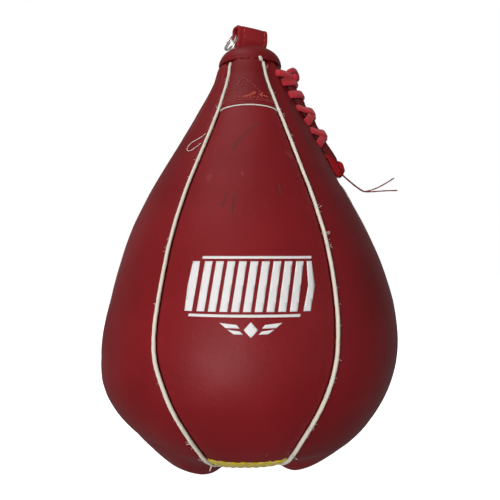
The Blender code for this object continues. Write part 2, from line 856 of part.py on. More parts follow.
def add_bladder():
    """The air bladder: a shell with a shoulder that closes in to the valve's hole."""
    rows = stations_from(along_at_height(BLADDER_SHOULDER), INNER_ROW)
    last = BLADDER_SHOULDER_ROWS + len(rows) - 1

    def point(u, v, face):
        depth = BLADDER_DEPTH + BLADDER_THICK * face
        row = round(v * last) - BLADDER_SHOULDER_ROWS
        if row >= 0:
            return on_bag(360.0 * u, rows[row], -depth)
        rim = on_bag(90.0, rows[0], -depth)
        rise = 0.5 * math.pi * -row / BLADDER_SHOULDER_ROWS
        radius = VALVE_HOLE_RADIUS + (rim.x - VALVE_HOLE_RADIUS) * math.cos(rise)
        height = rim.z + (BLADDER_NECK_HEIGHT - BLADDER_THICK * face) * math.sin(rise)
        turn = 2 * math.pi * u
        return Vector((radius * math.sin(turn), -radius * math.cos(turn), height))

    return sheet("bladder", point, ROUND_COLUMNS, last, rubber(), closed=True, capped=True)


def bladder_top():
    shoulder = on_bag(90.0, along_at_height(BLADDER_SHOULDER), -BLADDER_DEPTH)
    return shoulder.z + BLADDER_NECK_HEIGHT


def add_valve():
    """The valve, with a flange on each side of the bladder's hole, and its plug."""
    top, under = bladder_top() + GAP, bladder_top() - BLADDER_THICK - GAP
    inner_flange = VALVE_FLANGE_RADIUS - VALVE_FLANGE_STEP
    head = top + VALVE_HEAD
    profile = (
        (VALVE_BORE, under - VALVE_FLANGE - VALVE_TAIL),
        (VALVE_RADIUS, under - VALVE_FLANGE - VALVE_TAIL),
        (VALVE_RADIUS, under - VALVE_FLANGE),
        (inner_flange, under - VALVE_FLANGE),
        (inner_flange, under - GAP),
        (VALVE_RADIUS, under - GAP),
        (VALVE_RADIUS, top),
        (VALVE_FLANGE_RADIUS, top),
        (VALVE_FLANGE_RADIUS, top + VALVE_FLANGE),
        (VALVE_RADIUS, top + VALVE_FLANGE),
        (VALVE_RADIUS, head),
        (VALVE_BORE, head),
    )
    turned("valve_body", profile, VALVE_SEGMENTS, rubber())
    plug = (
        (VALVE_PLUG_RADIUS, head - VALVE_PLUG_LENGTH),
        (VALVE_PLUG_RADIUS, head + GAP),
        (VALVE_CAP_RADIUS, head + GAP),
        (VALVE_CAP_RADIUS, head + GAP + VALVE_CAP_THICK),
    )
    turned_solid("valve_plug", plug, VALVE_SEGMENTS, rubber())


def add_bottom_disc():
    """The round patch that backs the panels' tips."""
    rows = stations_from(along_at_radius(BOTTOM_DISC_RADIUS), PANEL_ROW)
    last = len(rows) - 1

    def point(u, v, face):
        depth = BOTTOM_DISC_DEPTH + BOTTOM_DISC_THICK * face
        return on_bag(360.0 * u, rows[round(v * last)], -depth)

    return sheet("bottom_disc", point, DISC_COLUMNS, last, cotton(), closed=True)


def add_threads():
    for name, route in (("thread_tail_long", THREAD_A), ("thread_tail_short", THREAD_B)):
        tube(name, smooth_curve(route, THREAD_STEPS), THREAD_RADIUS, thread())


def main():
    clear_scene()
    panels = [add_panel(i) for i in range(len(PANELS))]
    for seam in range(len(SEAMS)):
        add_welt(seam)
    add_facing()
    add_facing_edge()
    add_label()
    add_tongue()
    add_lace()
    add_lace_holes(panels)
    add_collar()
    add_crown_disc()
    add_hang_loop()
    add_split_ring()
    add_lining()
    add_bladder()
    add_valve()
    add_bottom_disc()
    add_threads()
    for made in bpy.data.objects:
        made.location.z -= LOOP_TOP


main()
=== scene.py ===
import math
import random

import bmesh
import bpy
from mathutils import Matrix, Vector, noise
from mathutils.bvhtree import BVHTree


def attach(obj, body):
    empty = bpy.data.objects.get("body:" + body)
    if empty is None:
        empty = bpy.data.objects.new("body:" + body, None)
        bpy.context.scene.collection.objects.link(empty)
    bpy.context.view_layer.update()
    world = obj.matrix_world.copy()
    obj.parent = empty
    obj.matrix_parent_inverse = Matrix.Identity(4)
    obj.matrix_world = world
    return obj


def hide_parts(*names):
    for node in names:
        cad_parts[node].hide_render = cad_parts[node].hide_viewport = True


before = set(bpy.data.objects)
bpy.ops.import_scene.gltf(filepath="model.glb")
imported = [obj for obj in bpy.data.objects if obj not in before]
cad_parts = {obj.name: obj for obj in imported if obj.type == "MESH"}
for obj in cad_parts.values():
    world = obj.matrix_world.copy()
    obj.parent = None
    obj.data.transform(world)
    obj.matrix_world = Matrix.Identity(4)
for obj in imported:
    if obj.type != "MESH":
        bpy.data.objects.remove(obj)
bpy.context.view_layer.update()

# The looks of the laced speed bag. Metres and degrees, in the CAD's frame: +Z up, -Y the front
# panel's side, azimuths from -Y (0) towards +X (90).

rng = random.Random(7)

# ---- shape values shared with the CAD

OUTLINE = (  # radius and height
    (0.0160, -0.0215), (0.0170, -0.0243), (0.0196, -0.0264), (0.0228, -0.0360), (0.0308, -0.0510),
    (0.0431, -0.0725), (0.0627, -0.1074), (0.0789, -0.1436), (0.0889, -0.1840), (0.0883, -0.2100),
    (0.0775, -0.2340), (0.0600, -0.2520), (0.0440, -0.2640), (0.0330, -0.2675), (0.0200, -0.2650),
    (0.0040, -0.2600),
)
SEAMS = (  # height and azimuth, down each seam
    (
        (-0.024, -37.5), (-0.051, -32.6), (-0.0725, -32.4), (-0.1074, -33.5), (-0.1436, -33.4),
        (-0.184, -32.6), (-0.210, -27.2), (-0.234, -21.8), (-0.252, -20.0), (-0.264, -23.0),
    ),
    (
        (-0.024, 23.4), (-0.051, 27.8), (-0.0725, 30.4), (-0.1074, 32.0), (-0.1436, 31.2), (-0.184, 28.9),
        (-0.210, 24.7), (-0.234, 19.3), (-0.252, 17.6), (-0.264, 20.5),
    ),
    ((-0.024, 80.0), (-0.100, 84.0), (-0.160, 90.0)),
    ((-0.024, 150.0),),
    ((-0.024, 210.0),),
    ((-0.024, 270.0),),
)
PANEL_TIP = 0.0045  # the radius where the panels and their welts end, under the bag
PANELS = ("front", "front_right", "back_right", "back", "back_left", "front_left")
WELTS = ("front_left", "front_right", "right", "back_right", "back_left", "left")
SLIT_SEAM = 2
PINCH = 0.0012
FRONT_LIFT = 0.0080
FRONT_LIFT_ENDS = (31.0, 44.0)
LIFT_RADII = (0.070, 0.042, 0.020)  # where the lift starts, is full, and falls off again
LIFT_BELOW = -0.2000
WELT_TOP = -0.0252
SLIT_TOP = -0.0290
SLIT_BOTTOM = -0.0990
SLIT_HALF_WIDTH = 0.0036
SLIT_RAMP = 0.0060
FACING_TOP = -0.0250
FACING_BOTTOM = -0.0550
FACING_DROP = 0.0020
COLLAR_RADIUS = 0.0194
COLLAR_BOTTOM = -0.0236
COLLAR_HEIGHT = 0.0117
COLLAR_POWER = 2.1
LOOP_TOP = -0.0016  # the pattern's heights are lifted by this, so that the loop's inner top is at zero
LOOP_YAW = 30.0
LOOP_WIDTH = 0.0210
LOOP_PLY = 0.0018
LOOP_HALF_GAP = 0.0025
LOOP_ROOT_HALF_GAP = 0.0005
LOOP_WAIST = -0.0080
LOOP_ROOT = -0.0114
LOOP_FOOT = -0.0210
LOOP_INNER_CORNER = 0.0010
RING_HOLE_FROM_EDGE = 0.0022
RING_HOLE_HEIGHT = -0.0040
RING_RADIUS = 0.0053
RING_WIRE = 0.00048
RING_PITCH = 0.00108
RING_TURNS = 2
RING_HANG = 26.0
RING_BACKSET = 0.0015
LABEL_RADII = (0.0670, 0.0530)
THREAD_DIAMETER = 0.0008
THREAD_A = (
    (0.0567, -0.0060, -0.0918), (0.0604, -0.0062, -0.0951), (0.0643, -0.0064, -0.0984),
    (0.0681, -0.0066, -0.1011), (0.0705, -0.0068, -0.1020), (0.0751, -0.0070, -0.1020),
    (0.0822, -0.0072, -0.1015), (0.0901, -0.0074, -0.1013),
)
THREAD_B = (
    (0.0567, -0.0072, -0.0918), (0.0604, -0.0074, -0.0951), (0.0643, -0.0076, -0.0984),
    (0.0681, -0.0078, -0.1011), (0.0705, -0.0081, -0.1019), (0.0754, -0.0087, -0.1007),
    (0.0809, -0.0094, -0.0981), (0.0874, -0.0099, -0.0941),
)

# ---- what the sewn bag adds to that shape

# How far the left and the right side stand out of the outline, by height
LEFT_SWELL = (
    (-0.060, 0.0), (-0.086, 0.0008), (-0.103, 0.0011), (-0.122, 0.0008), (-0.144, -0.0007),
    (-0.167, -0.0011), (-0.184, -0.0004), (-0.200, 0.0), (-0.213, 0.0020), (-0.221, 0.0024),
    (-0.229, 0.0020), (-0.241, 0.0006), (-0.253, 0.0022), (-0.260, 0.0032), (-0.2674, 0.0005),
)
RIGHT_SWELL = (
    (-0.060, 0.0), (-0.095, -0.0018), (-0.107, -0.0011), (-0.124, -0.0003), (-0.144, 0.0006),
    (-0.167, 0.0012), (-0.184, 0.0005), (-0.200, -0.0007), (-0.210, -0.0012), (-0.222, -0.0015),
    (-0.235, -0.0019), (-0.247, -0.0009), (-0.259, -0.0014), (-0.2674, -0.0030),
)
SEAM_VALLEY = 0.0015
VALLEY_WIDTH = 0.0010
EDGE_ROLL = 0.0012
EDGE_ROLL_WIDTH = 0.0009
PUCKER = 0.00016
PUCKER_PITCH = 0.0052
PUCKER_REACH = 0.0035
RIPPLE = 0.0005
RIPPLE_SIZE = 0.034
PLEAT = 0.0005
PLEATS_PER_TURN = 17.0
PLEAT_ENDS = (-0.085, -0.030)
SHELL_THICK = 0.0012
FACING_THICK = 0.0006
LABEL_THICK = 0.0005
TAB_THICK = 0.0009
COLLAR_THICK = 0.0009
PRINT_THICK = 0.00006
FLUFF_ASIDE = 0.0011
PANEL_COLUMNS = 44
PANEL_ROWS = 190
WELT_RADII = (0.00088, 0.00108)  # at its top and at its foot
WELT_DEPTH = 0.0002

GRAIN_SCALE = 1150.0

FLOOR_HEIGHT = -0.300
CAMERA_PLACE = (0.0, -0.356, -0.1361)
CAMERA_LENS = 41.04
LIGHT_AIM = (0.0, 0.0, -0.15)


def fraction(value, start, end):
    """0 at start, 1 at end, smooth between."""
    t = min(max((value - start) / (end - start), 0.0), 1.0)
    return t * t * (3.0 - 2.0 * t)


def rounded(share):
    """A quarter round: 0 at 0, and 1 from 1 on."""
    return math.sqrt(max(1.0 - (1.0 - min(share, 1.0)) ** 2, 0.0))


def hump(away, width):
    """1 at the middle, falling off to each side."""
    return math.exp(-((away / width) ** 2))


def waver(x, y, z):
    return noise.noise(Vector((x, y, z)))


def smooth_curve(points, steps):
    """A Catmull-Rom curve through the points, with this many steps between each two."""
    known = [Vector(p) for p in points]
    known = [2 * known[0] - known[1], *known, 2 * known[-1] - known[-2]]
    curve = []
    for before, start, end, after in zip(known, known[1:], known[2:], known[3:]):
        for i in range(steps):
            t = i / steps
            bend = (2 * before - 5 * start + 4 * end - after) * t * t
            twist = (3 * start - before - 3 * end + after) * t**3
            curve.append(0.5 * (2 * start + (end - before) * t + bend + twist))
    curve.append(known[-2])
    return curve


def interpolate(table, value):
    """The second number of a table of pairs whose first numbers fall."""
    if value >= table[0][0]:
        return table[0][1]
    for (high, a), (low, b) in zip(table, table[1:]):
        if value >= low:
            return a + (b - a) * (high - value) / (high - low)
    return table[-1][1]


CURVE = smooth_curve(OUTLINE, 12)
SEAM_CURVES = [smooth_curve(seam, 8) if len(seam) > 1 else seam for seam in SEAMS]
RUN = [0.0]
for first, second in zip(CURVE, CURVE[1:]):
    RUN.append(RUN[-1] + (second - first).length)
LENGTH = RUN[-1]
LOWEST = min(range(len(CURVE)), key=lambda i: CURVE[i].y)


def normal_at(i):
    run = CURVE[min(i + 2, len(CURVE) - 1)] - CURVE[max(i - 2, 0)]
    run.normalize()
    return Vector((-run.y, run.x))


NORMALS = [normal_at(i) for i in range(len(CURVE))]


def outline(along):
    """Radius, height and outward normal of the outline at this fraction of its length."""
    want = min(max(along, 0.0), 1.0) * LENGTH
    low, high = 0, len(RUN) - 1
    while high - low > 1:
        middle = (low + high) // 2
        if RUN[middle] <= want:
            low = middle
        else:
            high = middle
    t = (want - RUN[low]) / (RUN[high] - RUN[low])
    spot = CURVE[low].lerp(CURVE[high], t)
    return spot.x, spot.y, NORMALS[low].lerp(NORMALS[high], t).normalized()


def along_at_height(z):
    for i in range(LOWEST):
        if CURVE[i + 1].y <= z:
            t = (CURVE[i].y - z) / (CURVE[i].y - CURVE[i + 1].y)
            return (RUN[i] + t * (RUN[i + 1] - RUN[i])) / LENGTH
    return RUN[LOWEST] / LENGTH


def along_at_radius(radius):
    for i in range(len(CURVE) - 1, 0, -1):
        if CURVE[i - 1].x >= radius:
            t = (radius - CURVE[i].x) / (CURVE[i - 1].x - CURVE[i].x)
            return (RUN[i] - t * (RUN[i] - RUN[i - 1])) / LENGTH
    return 1.0


LOWEST_ALONG = RUN[LOWEST] / LENGTH


def front_lift(azimuth, radius, height):
    if height > LIFT_BELOW:
        return 0.0
    turn = abs((azimuth + 180.0) % 360.0 - 180.0)
    start, full, fall = LIFT_RADII
    side = 1.0 - fraction(turn, *FRONT_LIFT_ENDS)
    return FRONT_LIFT * side * fraction(radius, start, full) * fraction(radius, 0.0, fall)


def swell(azimuth, along, height, radius):
    """How far the filled bag stands out of the outline, to each side."""
    turn = math.sin(math.radians(azimuth))
    table = RIGHT_SWELL if turn > 0 else LEFT_SWELL
    if along > LOWEST_ALONG:
        amount = table[-1][1] * fraction(radius, 0.004, 0.033)
    else:
        amount = interpolate(table, height)
    return amount * abs(turn) ** 1.2


def skin(azimuth, along, out=0.0):
    """A point on the filled bag, or this far outside it."""
    radius, height, normal = outline(along)
    lift = front_lift(azimuth, radius, height)
    out += swell(azimuth, along, height, radius)
    radius += out * normal.x
    turn = math.radians(azimuth)
    return Vector((radius * math.sin(turn), -radius * math.cos(turn), height + out * normal.y + lift))


def spaced(start, end, steps):
    """Numbers from start to end, in equal steps."""
    return [start + (end - start) * i / steps for i in range(steps + 1)]


def outwards(point, rise):
    """The way from the bag's axis to a point, tilted up a little."""
    return Vector((point.x, point.y, rise)).normalized()


def seam_azimuth(seam, along):
    height = outline(along)[1]
    if along > LOWEST_ALONG:
        height = CURVE[LOWEST].y
    turns = seam // len(SEAMS)
    return interpolate(SEAM_CURVES[seam % len(SEAMS)], height) + 360.0 * turns


def slit_open(along):
    height = outline(along)[1]
    top = 1.0 - fraction(height, SLIT_TOP - SLIT_RAMP, SLIT_TOP)
    return top * fraction(height, SLIT_BOTTOM, SLIT_BOTTOM + SLIT_RAMP)


def slit_point(height, aside, out):
    """A point by the slit: this far aside of the seam's line, towards the back, and out of the face."""
    along = along_at_height(height)
    turn = math.degrees(aside / outline(along)[0])
    return skin(seam_azimuth(SLIT_SEAM, along) + turn, along, out)


# ---- materials


def make_material(name, colour, roughness, metallic=0.0, **sockets):
    made = bpy.data.materials.new(name)
    made.use_nodes = True
    shader = made.node_tree.nodes["Principled BSDF"]
    sockets |= {"Base_Color": (*colour, 1.0), "Roughness": roughness, "Metallic": metallic}
    for key, value in sockets.items():
        shader.inputs[key.replace("_", " ")].default_value = value
    return made, made.node_tree, shader


def add_node(tree, kind, inputs=(), output=0, **settings):
    """A node with its settings, and its inputs as (socket, number or another node's output)."""
    made = tree.nodes.new("ShaderNode" + kind)
    for key, value in settings.items():
        setattr(made, key, value)
    for key, value in inputs:
        feed(tree, made.inputs[key], value)
    return made.outputs[output]


def feed(tree, socket, value):
    if isinstance(value, bpy.types.NodeSocket):
        tree.links.new(value, socket)
    else:
        socket.default_value = value


def noise_of(tree, place, scale, detail, **more):
    inputs = [("Vector", place), ("Scale", scale), ("Detail", detail)]
    return add_node(tree, "TexNoise", inputs + [*more.items()])


def bands_of(tree, place, scale, distortion=0.0, phase=0.0, way="X"):
    inputs = [("Vector", place), ("Scale", scale), ("Distortion", distortion), ("Phase Offset", phase)]
    return add_node(tree, "TexWave", inputs, bands_direction=way)


def pebbles_of(tree, place):
    return add_node(tree, "TexVoronoi", [("Vector", place), ("Scale", GRAIN_SCALE), ("Randomness", 0.9)])


def product(tree, first, second):
    return add_node(tree, "Math", [(0, first), (1, second)], operation="MULTIPLY")


def place_of(tree):
    return add_node(tree, "TexCoord", output="Object")


def run_of(tree, across, along):
    """The piece's own run: how far round it, and how far along it in metres, both scaled."""
    found = add_node(tree, "UVMap", uv_map="run")
    return add_node(tree, "Mapping", [("Vector", found), ("Scale", (across, along, 1.0))])


def spread(tree, value, low, high, to_low, to_high):
    names = ("Value", "From Min", "From Max", "To Min", "To Max")
    return add_node(tree, "MapRange", zip(names, (value, low, high, to_low, to_high)))


def mixed(tree, share, first, second):
    """Two colours mixed by a share."""
    made = tree.nodes.new("ShaderNodeMix")
    made.data_type = "RGBA"
    for key, value in (("Factor", share), ("A", first), ("B", second)):
        if isinstance(value, tuple):
            value = (*value, 1.0)
        feed(tree, next(s for s in made.inputs if s.name == key and s.enabled), value)
    return next(s for s in made.outputs if s.enabled)


def blended(tree, value, low, high, first, second, at_low=0.0, at_high=1.0):
    """Two colours mixed by a value, whose low and high stand for these shares of the second."""
    return mixed(tree, spread(tree, value, low, high, at_low, at_high), first, second)


def surfaced(tree, shader, tone, *heights, rough=None):
    """Links a colour and a roughness, and stacks bumps, each (height, strength, distance)."""
    tree.links.new(tone, shader.inputs["Base Color"])
    if rough:
        tree.links.new(rough, shader.inputs["Roughness"])
    normal = None
    for height, strength, distance in heights:
        inputs = [("Height", height), ("Strength", strength), ("Distance", distance)]
        normal = add_node(tree, "Bump", inputs + ([("Normal", normal)] if normal else []))
    tree.links.new(normal, shader.inputs["Normal"])


def leather(name, colour, dark, roughness=0.46, wear=0.0):
    """Satin synthetic leather: a fine pebbled grain, soft blotches, and wear as light scratches."""
    made, tree, shader = make_material(name, colour, roughness, Specular_IOR_Level=0.18)
    place = place_of(tree)
    blotch = noise_of(tree, place, 26.0, 4.0)
    speck = noise_of(tree, place, 900.0, 2.0)
    tone = blended(tree, blotch, 0.35, 0.65, dark, colour)
    tone = blended(tree, speck, 0.3, 0.75, tone, tuple(c * 0.55 for c in dark), at_high=0.22)
    if wear:
        turned = [("Vector", place), ("Rotation", (0.0, 0.5, 0.0)), ("Scale", (1.0, 1.0, 0.09))]
        streaks = noise_of(tree, add_node(tree, "Mapping", turned), 150.0, 2.0)
        line = spread(tree, streaks, 0.70, 0.74, 0.0, 1.0)
        where = spread(tree, noise_of(tree, place, 17.0, 1.0), 0.52, 0.60, 0.0, 1.0)
        tone = mixed(tree, product(tree, product(tree, line, where), wear), tone, (0.34, 0.10, 0.10))
    grain = (pebbles_of(tree, place), 0.35, 0.00012)
    pores = (noise_of(tree, place, 260.0, 5.0), 0.35, 0.00025)
    rough = spread(tree, blotch, 0.3, 0.7, roughness + 0.06, roughness - 0.05)
    surfaced(tree, shader, tone, grain, pores, rough=rough)
    return made


def woven(name, colour, dark, ribs, turns, roughness=0.8, depth=0.00012, fray=0.3):
    """Woven or wrapped cloth on a piece with a run: slanted yarns along it, with worn patches."""
    sheen = {"Sheen_Weight": 0.25, "Specular_IOR_Level": 0.25}
    made, tree, shader = make_material(name, colour, roughness, **sheen)
    run, place = run_of(tree, turns, ribs), place_of(tree)
    slanted = bands_of(tree, run, 1.0, 0.6, 0.0, "DIAGONAL")
    weave = product(tree, slanted, bands_of(tree, run, 0.9, 0.8, 2.0, "Y"))
    patch = noise_of(tree, place, 120.0, 3.0)
    tone = blended(tree, weave, 0.0, 0.6, colour, dark, at_low=0.75, at_high=0.0)
    tone = blended(tree, patch, 0.50, 0.72, tone, dark, at_high=fray)
    surfaced(tree, shader, tone, (weave, 0.7, depth), (noise_of(tree, place, 1400.0, 3.0), 0.5, 0.00008))
    return made


def cloth(name, colour, dark, pitch, roughness=0.88):
    """Plain cloth by place, for pieces without a run."""
    made, tree, shader = make_material(name, colour, roughness, Sheen_Weight=0.2)
    place = place_of(tree)
    weave = product(tree, bands_of(tree, place, pitch), bands_of(tree, place, pitch, way="Z"))
    tone = blended(tree, noise_of(tree, place, 60.0, 4.0), 0.3, 0.7, colour, dark)
    tone = blended(tree, weave, 0.0, 1.0, tone, dark, at_low=0.35, at_high=0.0)
    surfaced(tree, shader, tone, (weave, 0.6, 0.0002))
    return made


def rubber(name, colour, roughness):
    made, tree, shader = make_material(name, colour, roughness)
    place = place_of(tree)
    haze = noise_of(tree, place, 70.0, 5.0)
    dust = tuple(c * 1.8 + 0.01 for c in colour)
    tone = blended(tree, haze, 0.4, 0.7, colour, dust)
    rough = spread(tree, haze, 0.3, 0.7, roughness - 0.08, roughness + 0.1)
    surfaced(tree, shader, tone, (noise_of(tree, place, 1200.0, 3.0), 0.3, 0.0001), rough=rough)
    return made


def wire(name):
    """Dull nickel plating with drawn lines, stained in patches."""
    made, tree, shader = make_material(name, (0.62, 0.60, 0.54), 0.28, 1.0)
    stain = noise_of(tree, place_of(tree), 420.0, 4.0)
    tone = blended(tree, stain, 0.40, 0.66, (0.80, 0.79, 0.74), (0.46, 0.45, 0.40))
    lines = bands_of(tree, run_of(tree, 26.0, 60.0), 1.0, 2.0)
    surfaced(tree, shader, tone, (lines, 0.25, 0.00003), rough=spread(tree, stain, 0.3, 0.7, 0.22, 0.5))
    return made


def ink(name):
    """White screen print, worn through in specks."""
    made, tree, shader = make_material(name, (0.86, 0.84, 0.82), 0.42)
    place = place_of(tree)
    worn = spread(tree, noise_of(tree, place, 620.0, 6.0, Roughness=0.7), 0.66, 0.74, 0.0, 0.55)
    tone = mixed(tree, worn, (0.88, 0.86, 0.85), (0.45, 0.14, 0.14))
    surfaced(tree, shader, tone, (pebbles_of(tree, place), 0.2, 0.00006))
    return made


RED = leather("red_leather", (0.250, 0.0120, 0.0160), (0.205, 0.0085, 0.0115), 0.46)
RED_FRONT = leather("red_leather_front", (0.262, 0.0130, 0.0175), (0.220, 0.0095, 0.0130), 0.47, wear=0.4)
RED_TRIM = leather("red_leather_trim", (0.250, 0.0140, 0.0175), (0.190, 0.0085, 0.0110), 0.42, wear=0.3)
MAROON = leather("maroon_leather", (0.185, 0.0125, 0.0155), (0.125, 0.0085, 0.0105), 0.5)
BRIGHT = leather("bright_red_tab", (0.520, 0.0080, 0.0130), (0.330, 0.0050, 0.0085), 0.36)
LACE = woven("bright_red_lace", (0.680, 0.026, 0.046), (0.460, 0.013, 0.024), 900.0, 9.0, 0.72, 0.00010, 0.30)
IVORY = woven("ivory_welt", (0.97, 0.93, 0.80), (0.78, 0.71, 0.58), 640.0, 4.0, 0.8, 0.00016, 0.35)
YELLOW = woven("yellow_label", (0.84, 0.66, 0.012), (0.55, 0.40, 0.006), 700.0, 60.0, 0.82, 0.00018, 0.45)
WHITE_YARN = woven("white_yarn", (0.93, 0.91, 0.86), (0.68, 0.64, 0.56), 900.0, 3.0, 0.8, 0.00005, 0.2)
RED_YARN = cloth("red_yarn", (0.34, 0.045, 0.045), (0.20, 0.022, 0.024), 1500.0, 0.75)
STITCH_RED = cloth("red_stitch", (0.50, 0.072, 0.062), (0.36, 0.040, 0.036), 1500.0, 0.7)
# Painted shade: a near-black for the flat strips that stand for the shade in the front panel's folds.
CREASE_PAINTED_SHADE = cloth("crease_shade", (0.070, 0.0030, 0.0040), (0.050, 0.0022, 0.0030), 1500.0, 0.6)
# Painted light: the trim leather made about half again as bright, standing for the light the strap catches.
STRAP_RED_PAINTED_LIGHT = leather("red_leather_strap_painted_light", (0.380, 0.0210, 0.0260), (0.290, 0.0135, 0.0170), 0.42, wear=0.3)
STITCH_ORANGE = cloth("orange_stitch", (0.74, 0.105, 0.048), (0.52, 0.055, 0.030), 1500.0, 0.7)
STEEL = wire("nickel_wire")
INK = ink("white_print")
COTTON = cloth("cotton_drill", (0.62, 0.58, 0.48), (0.45, 0.41, 0.33), 700.0)
BUTYL = rubber("black_butyl", (0.018, 0.018, 0.020), 0.55)
VALVE = rubber("valve_rubber", (0.045, 0.045, 0.050), 0.5)


# ---- mesh helpers


def add_object(name, data, surface, body="bag", slot=None, replaces=()):
    made = bpy.data.objects.new(name, data)
    made.location.z = -LOOP_TOP
    data.materials.append(surface)
    bpy.context.scene.collection.objects.link(made)
    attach(made, body)
    if replaces:
        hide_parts(*replaces)
    return made


def mesh_from(name, vertices, faces, runs=None, smooth=60.0):
    """A mesh with outward faces, smooth shading, and the vertices' run as its UV map."""
    mesh = bpy.data.meshes.new(name)
    mesh.from_pydata([tuple(v) for v in vertices], [], faces)
    if runs:
        layer = mesh.uv_layers.new(name="run")
        for face in mesh.polygons:
            spots = [runs[mesh.loops[i].vertex_index] for i in face.loop_indices]
            wraps = max(s[0] for s in spots) - min(s[0] for s in spots) > 0.5
            for i, (u, v) in zip(face.loop_indices, spots):
                layer.data[i].uv = (u + 1.0 if wraps and u < 0.5 else u, v)
    mesh.shade_smooth()
    mesh.set_sharp_from_angle(angle=math.radians(smooth))
    shape = bmesh.new()
    shape.from_mesh(mesh)
    bmesh.ops.recalc_face_normals(shape, faces=shape.faces)
    shape.to_mesh(mesh)
    shape.free()
    return mesh


def add_sheet(name, point, columns, rows, depth, surface, slot, replaces=(), wrap=False, run=(1.0, 1.0)):
    """A sheet of points point(u, v), with its depth behind it and its run scaled by run."""
    across = columns if wrap else columns + 1
    spots = [(i / columns, j / rows) for j in range(rows + 1) for i in range(across)]
    faces = []
    for j in range(rows):
        for i in range(columns):
            a, b = j * across + i, j * across + (i + 1) % across
            faces.append((a, b, b + across, a + across))
    runs = [(run[0] * u, run[1] * v) for u, v in spots]
    mesh = face_outwards(mesh_from(name, [point(u, v) for u, v in spots], faces, runs))
    return thicken(add_object(name, mesh, surface, "bag", slot, replaces), depth)


def thicken(made, depth):
    """Gives a sheet its thickness, on the side away from its faces."""
    solid = made.modifiers.new("thickness", "SOLIDIFY")
    solid.thickness = depth
    solid.offset = -1.0
    solid.use_even_offset = False
    return made


def face_outwards(mesh):
    """Turns a sheet's faces away from the bag's axis."""
    outwards = 0.0
    for face in mesh.polygons:
        middle = face.center
        outwards += face.area * face.normal.dot(Vector((middle.x, middle.y, (middle.z + 0.16) * 0.6)))
    if outwards < 0:
        mesh.flip_normals()
    return mesh


def tube_faces(rings, sides, first=0):
    """The faces of a tube of rings with this many sides each, with its two ends closed."""
    faces = []
    for j in range(first, first + (rings - 1) * sides, sides):
        for i in range(sides):
            k = (i + 1) % sides
            faces.append((j + i, j + k, j + sides + k, j + sides + i))
    faces.append(tuple(range(first, first + sides)))
    last = first + (rings - 1) * sides
    faces.append(tuple(range(last, last + sides)))
    return faces


def add_tube(name, points, outs, section, surface, slot, replaces=(), body="bag"):
    """A tube along a path. section(angle, share) gives its reach outwards and aside."""
    sides = 14
    vertices, runs = [], []
    travelled = 0.0
    spots = frames_along(points, outs)
    for j, (middle, out, aside) in enumerate(spots):
        if j:
            travelled += (middle - spots[j - 1][0]).length
        for i in range(sides):
            angle = 2 * math.pi * i / sides
            reach_out, reach_aside = section(angle, j / (len(spots) - 1))
            vertices.append(middle + out * reach_out + aside * reach_aside)
            runs.append((i / sides, travelled))
    mesh = mesh_from(name, vertices, tube_faces(len(spots), sides), runs)
    return add_object(name, mesh, surface, body, slot, replaces)


def frames_along(points, outs):
    """(middle, out, aside) along a path whose outward directions are about outs."""
    spots = []
    for i, middle in enumerate(points):
        run = (points[min(i + 1, len(points) - 1)] - points[max(i - 1, 0)]).normalized()
        out = (outs[i] - run * outs[i].dot(run)).normalized()
        spots.append((middle, out, run.cross(out)))
    return spots


def round_section(radius, wobble=0.0, taper=0.0):
    def section(angle, share):
        size = radius * (1.0 + wobble * waver(share * 90.0, math.cos(angle), radius * 1e4))
        if taper:
            end = min(share, 1.0 - share) / taper
            size *= rounded(end) * 0.92 + 0.08
        return size * math.cos(angle), size * math.sin(angle)

    return section


def ribbon_section(width, thickness, taper):
    """A flat lace: a rounded bar, thick in its middle."""

    def section(angle, share):
        side, up = math.sin(angle), math.cos(angle)
        x = math.copysign(abs(side) ** 0.62, side) * width / 2
        y = math.copysign(abs(up) ** 0.75, up) * thickness / 2
        size = rounded(min(share, 1.0 - share) / taper) * 0.8 + 0.2
        wave = 1.0 + 0.05 * waver(share * 30.0, side, 3.0)
        return y * size, x * size * wave

    return section


def lifted(place, spots, out):
    """Points place(*spot, out), and the outward direction at each."""
    points = [place(*spot, out) for spot in spots]
    outs = [(place(*spot, out + 0.001) - point).normalized() for spot, point in zip(spots, points)]
    return points, outs


def stitches(name, path, outs, surface, length, gap, radius):
    """A row of stitches as short rounded dashes, half sunk, all on one mesh."""
    rings, sides = 7, 6
    vertices, faces, runs = [], [], []
    marks = [0.0]
    for a, b in zip(path, path[1:]):
        marks.append(marks[-1] + (b - a).length)

    def at(distance):
        for i in range(len(marks) - 1):
            if marks[i + 1] >= distance:
                t = (distance - marks[i]) / max(marks[i + 1] - marks[i], 1e-9)
                return path[i].lerp(path[i + 1], t), outs[i].lerp(outs[i + 1], t).normalized()
        return path[-1], outs[-1]

    spot = 0.0004
    while spot + length < marks[-1]:
        long = length * (1.0 + rng.uniform(-0.12, 0.12))
        faces += tube_faces(rings, sides, len(vertices))
        sway = rng.uniform(-0.6, 0.6) * radius
        for j in range(rings):
            share = j / (rings - 1)
            middle, out = at(spot + long * share)
            run = (at(spot + long * share + 0.0003)[0] - middle).normalized()
            aside = run.cross(out).normalized()
            size = radius * math.sqrt(max(1.0 - (2 * share - 1) ** 2, 0.02))
            middle = middle + aside * sway * (2 * share - 1) + out * (size * 0.35 - radius * 0.1)
            for i in range(sides):
                angle = 2 * math.pi * i / sides
                vertices.append(middle + out * size * math.cos(angle) + aside * size * math.sin(angle))
                runs.append((i / sides, spot + long * share))
        spot += long + gap
    return add_object(name, mesh_from(name, vertices, faces, runs), surface, slot="thread")


def cord_curve(name, strands, diameter, resolution):
    """A curve object's data with a straight-sided spline through each list of points."""
    curve = bpy.data.curves.new(name, "CURVE")
    curve.dimensions = "3D"
    curve.bevel_depth = diameter / 2
    curve.bevel_resolution = resolution
    for points in strands:
        line = curve.splines.new("POLY")
        line.points.add(len(points) - 1)
        for spot, p in zip(line.points, points):
            spot.co = (*p, 1.0)
    return curve


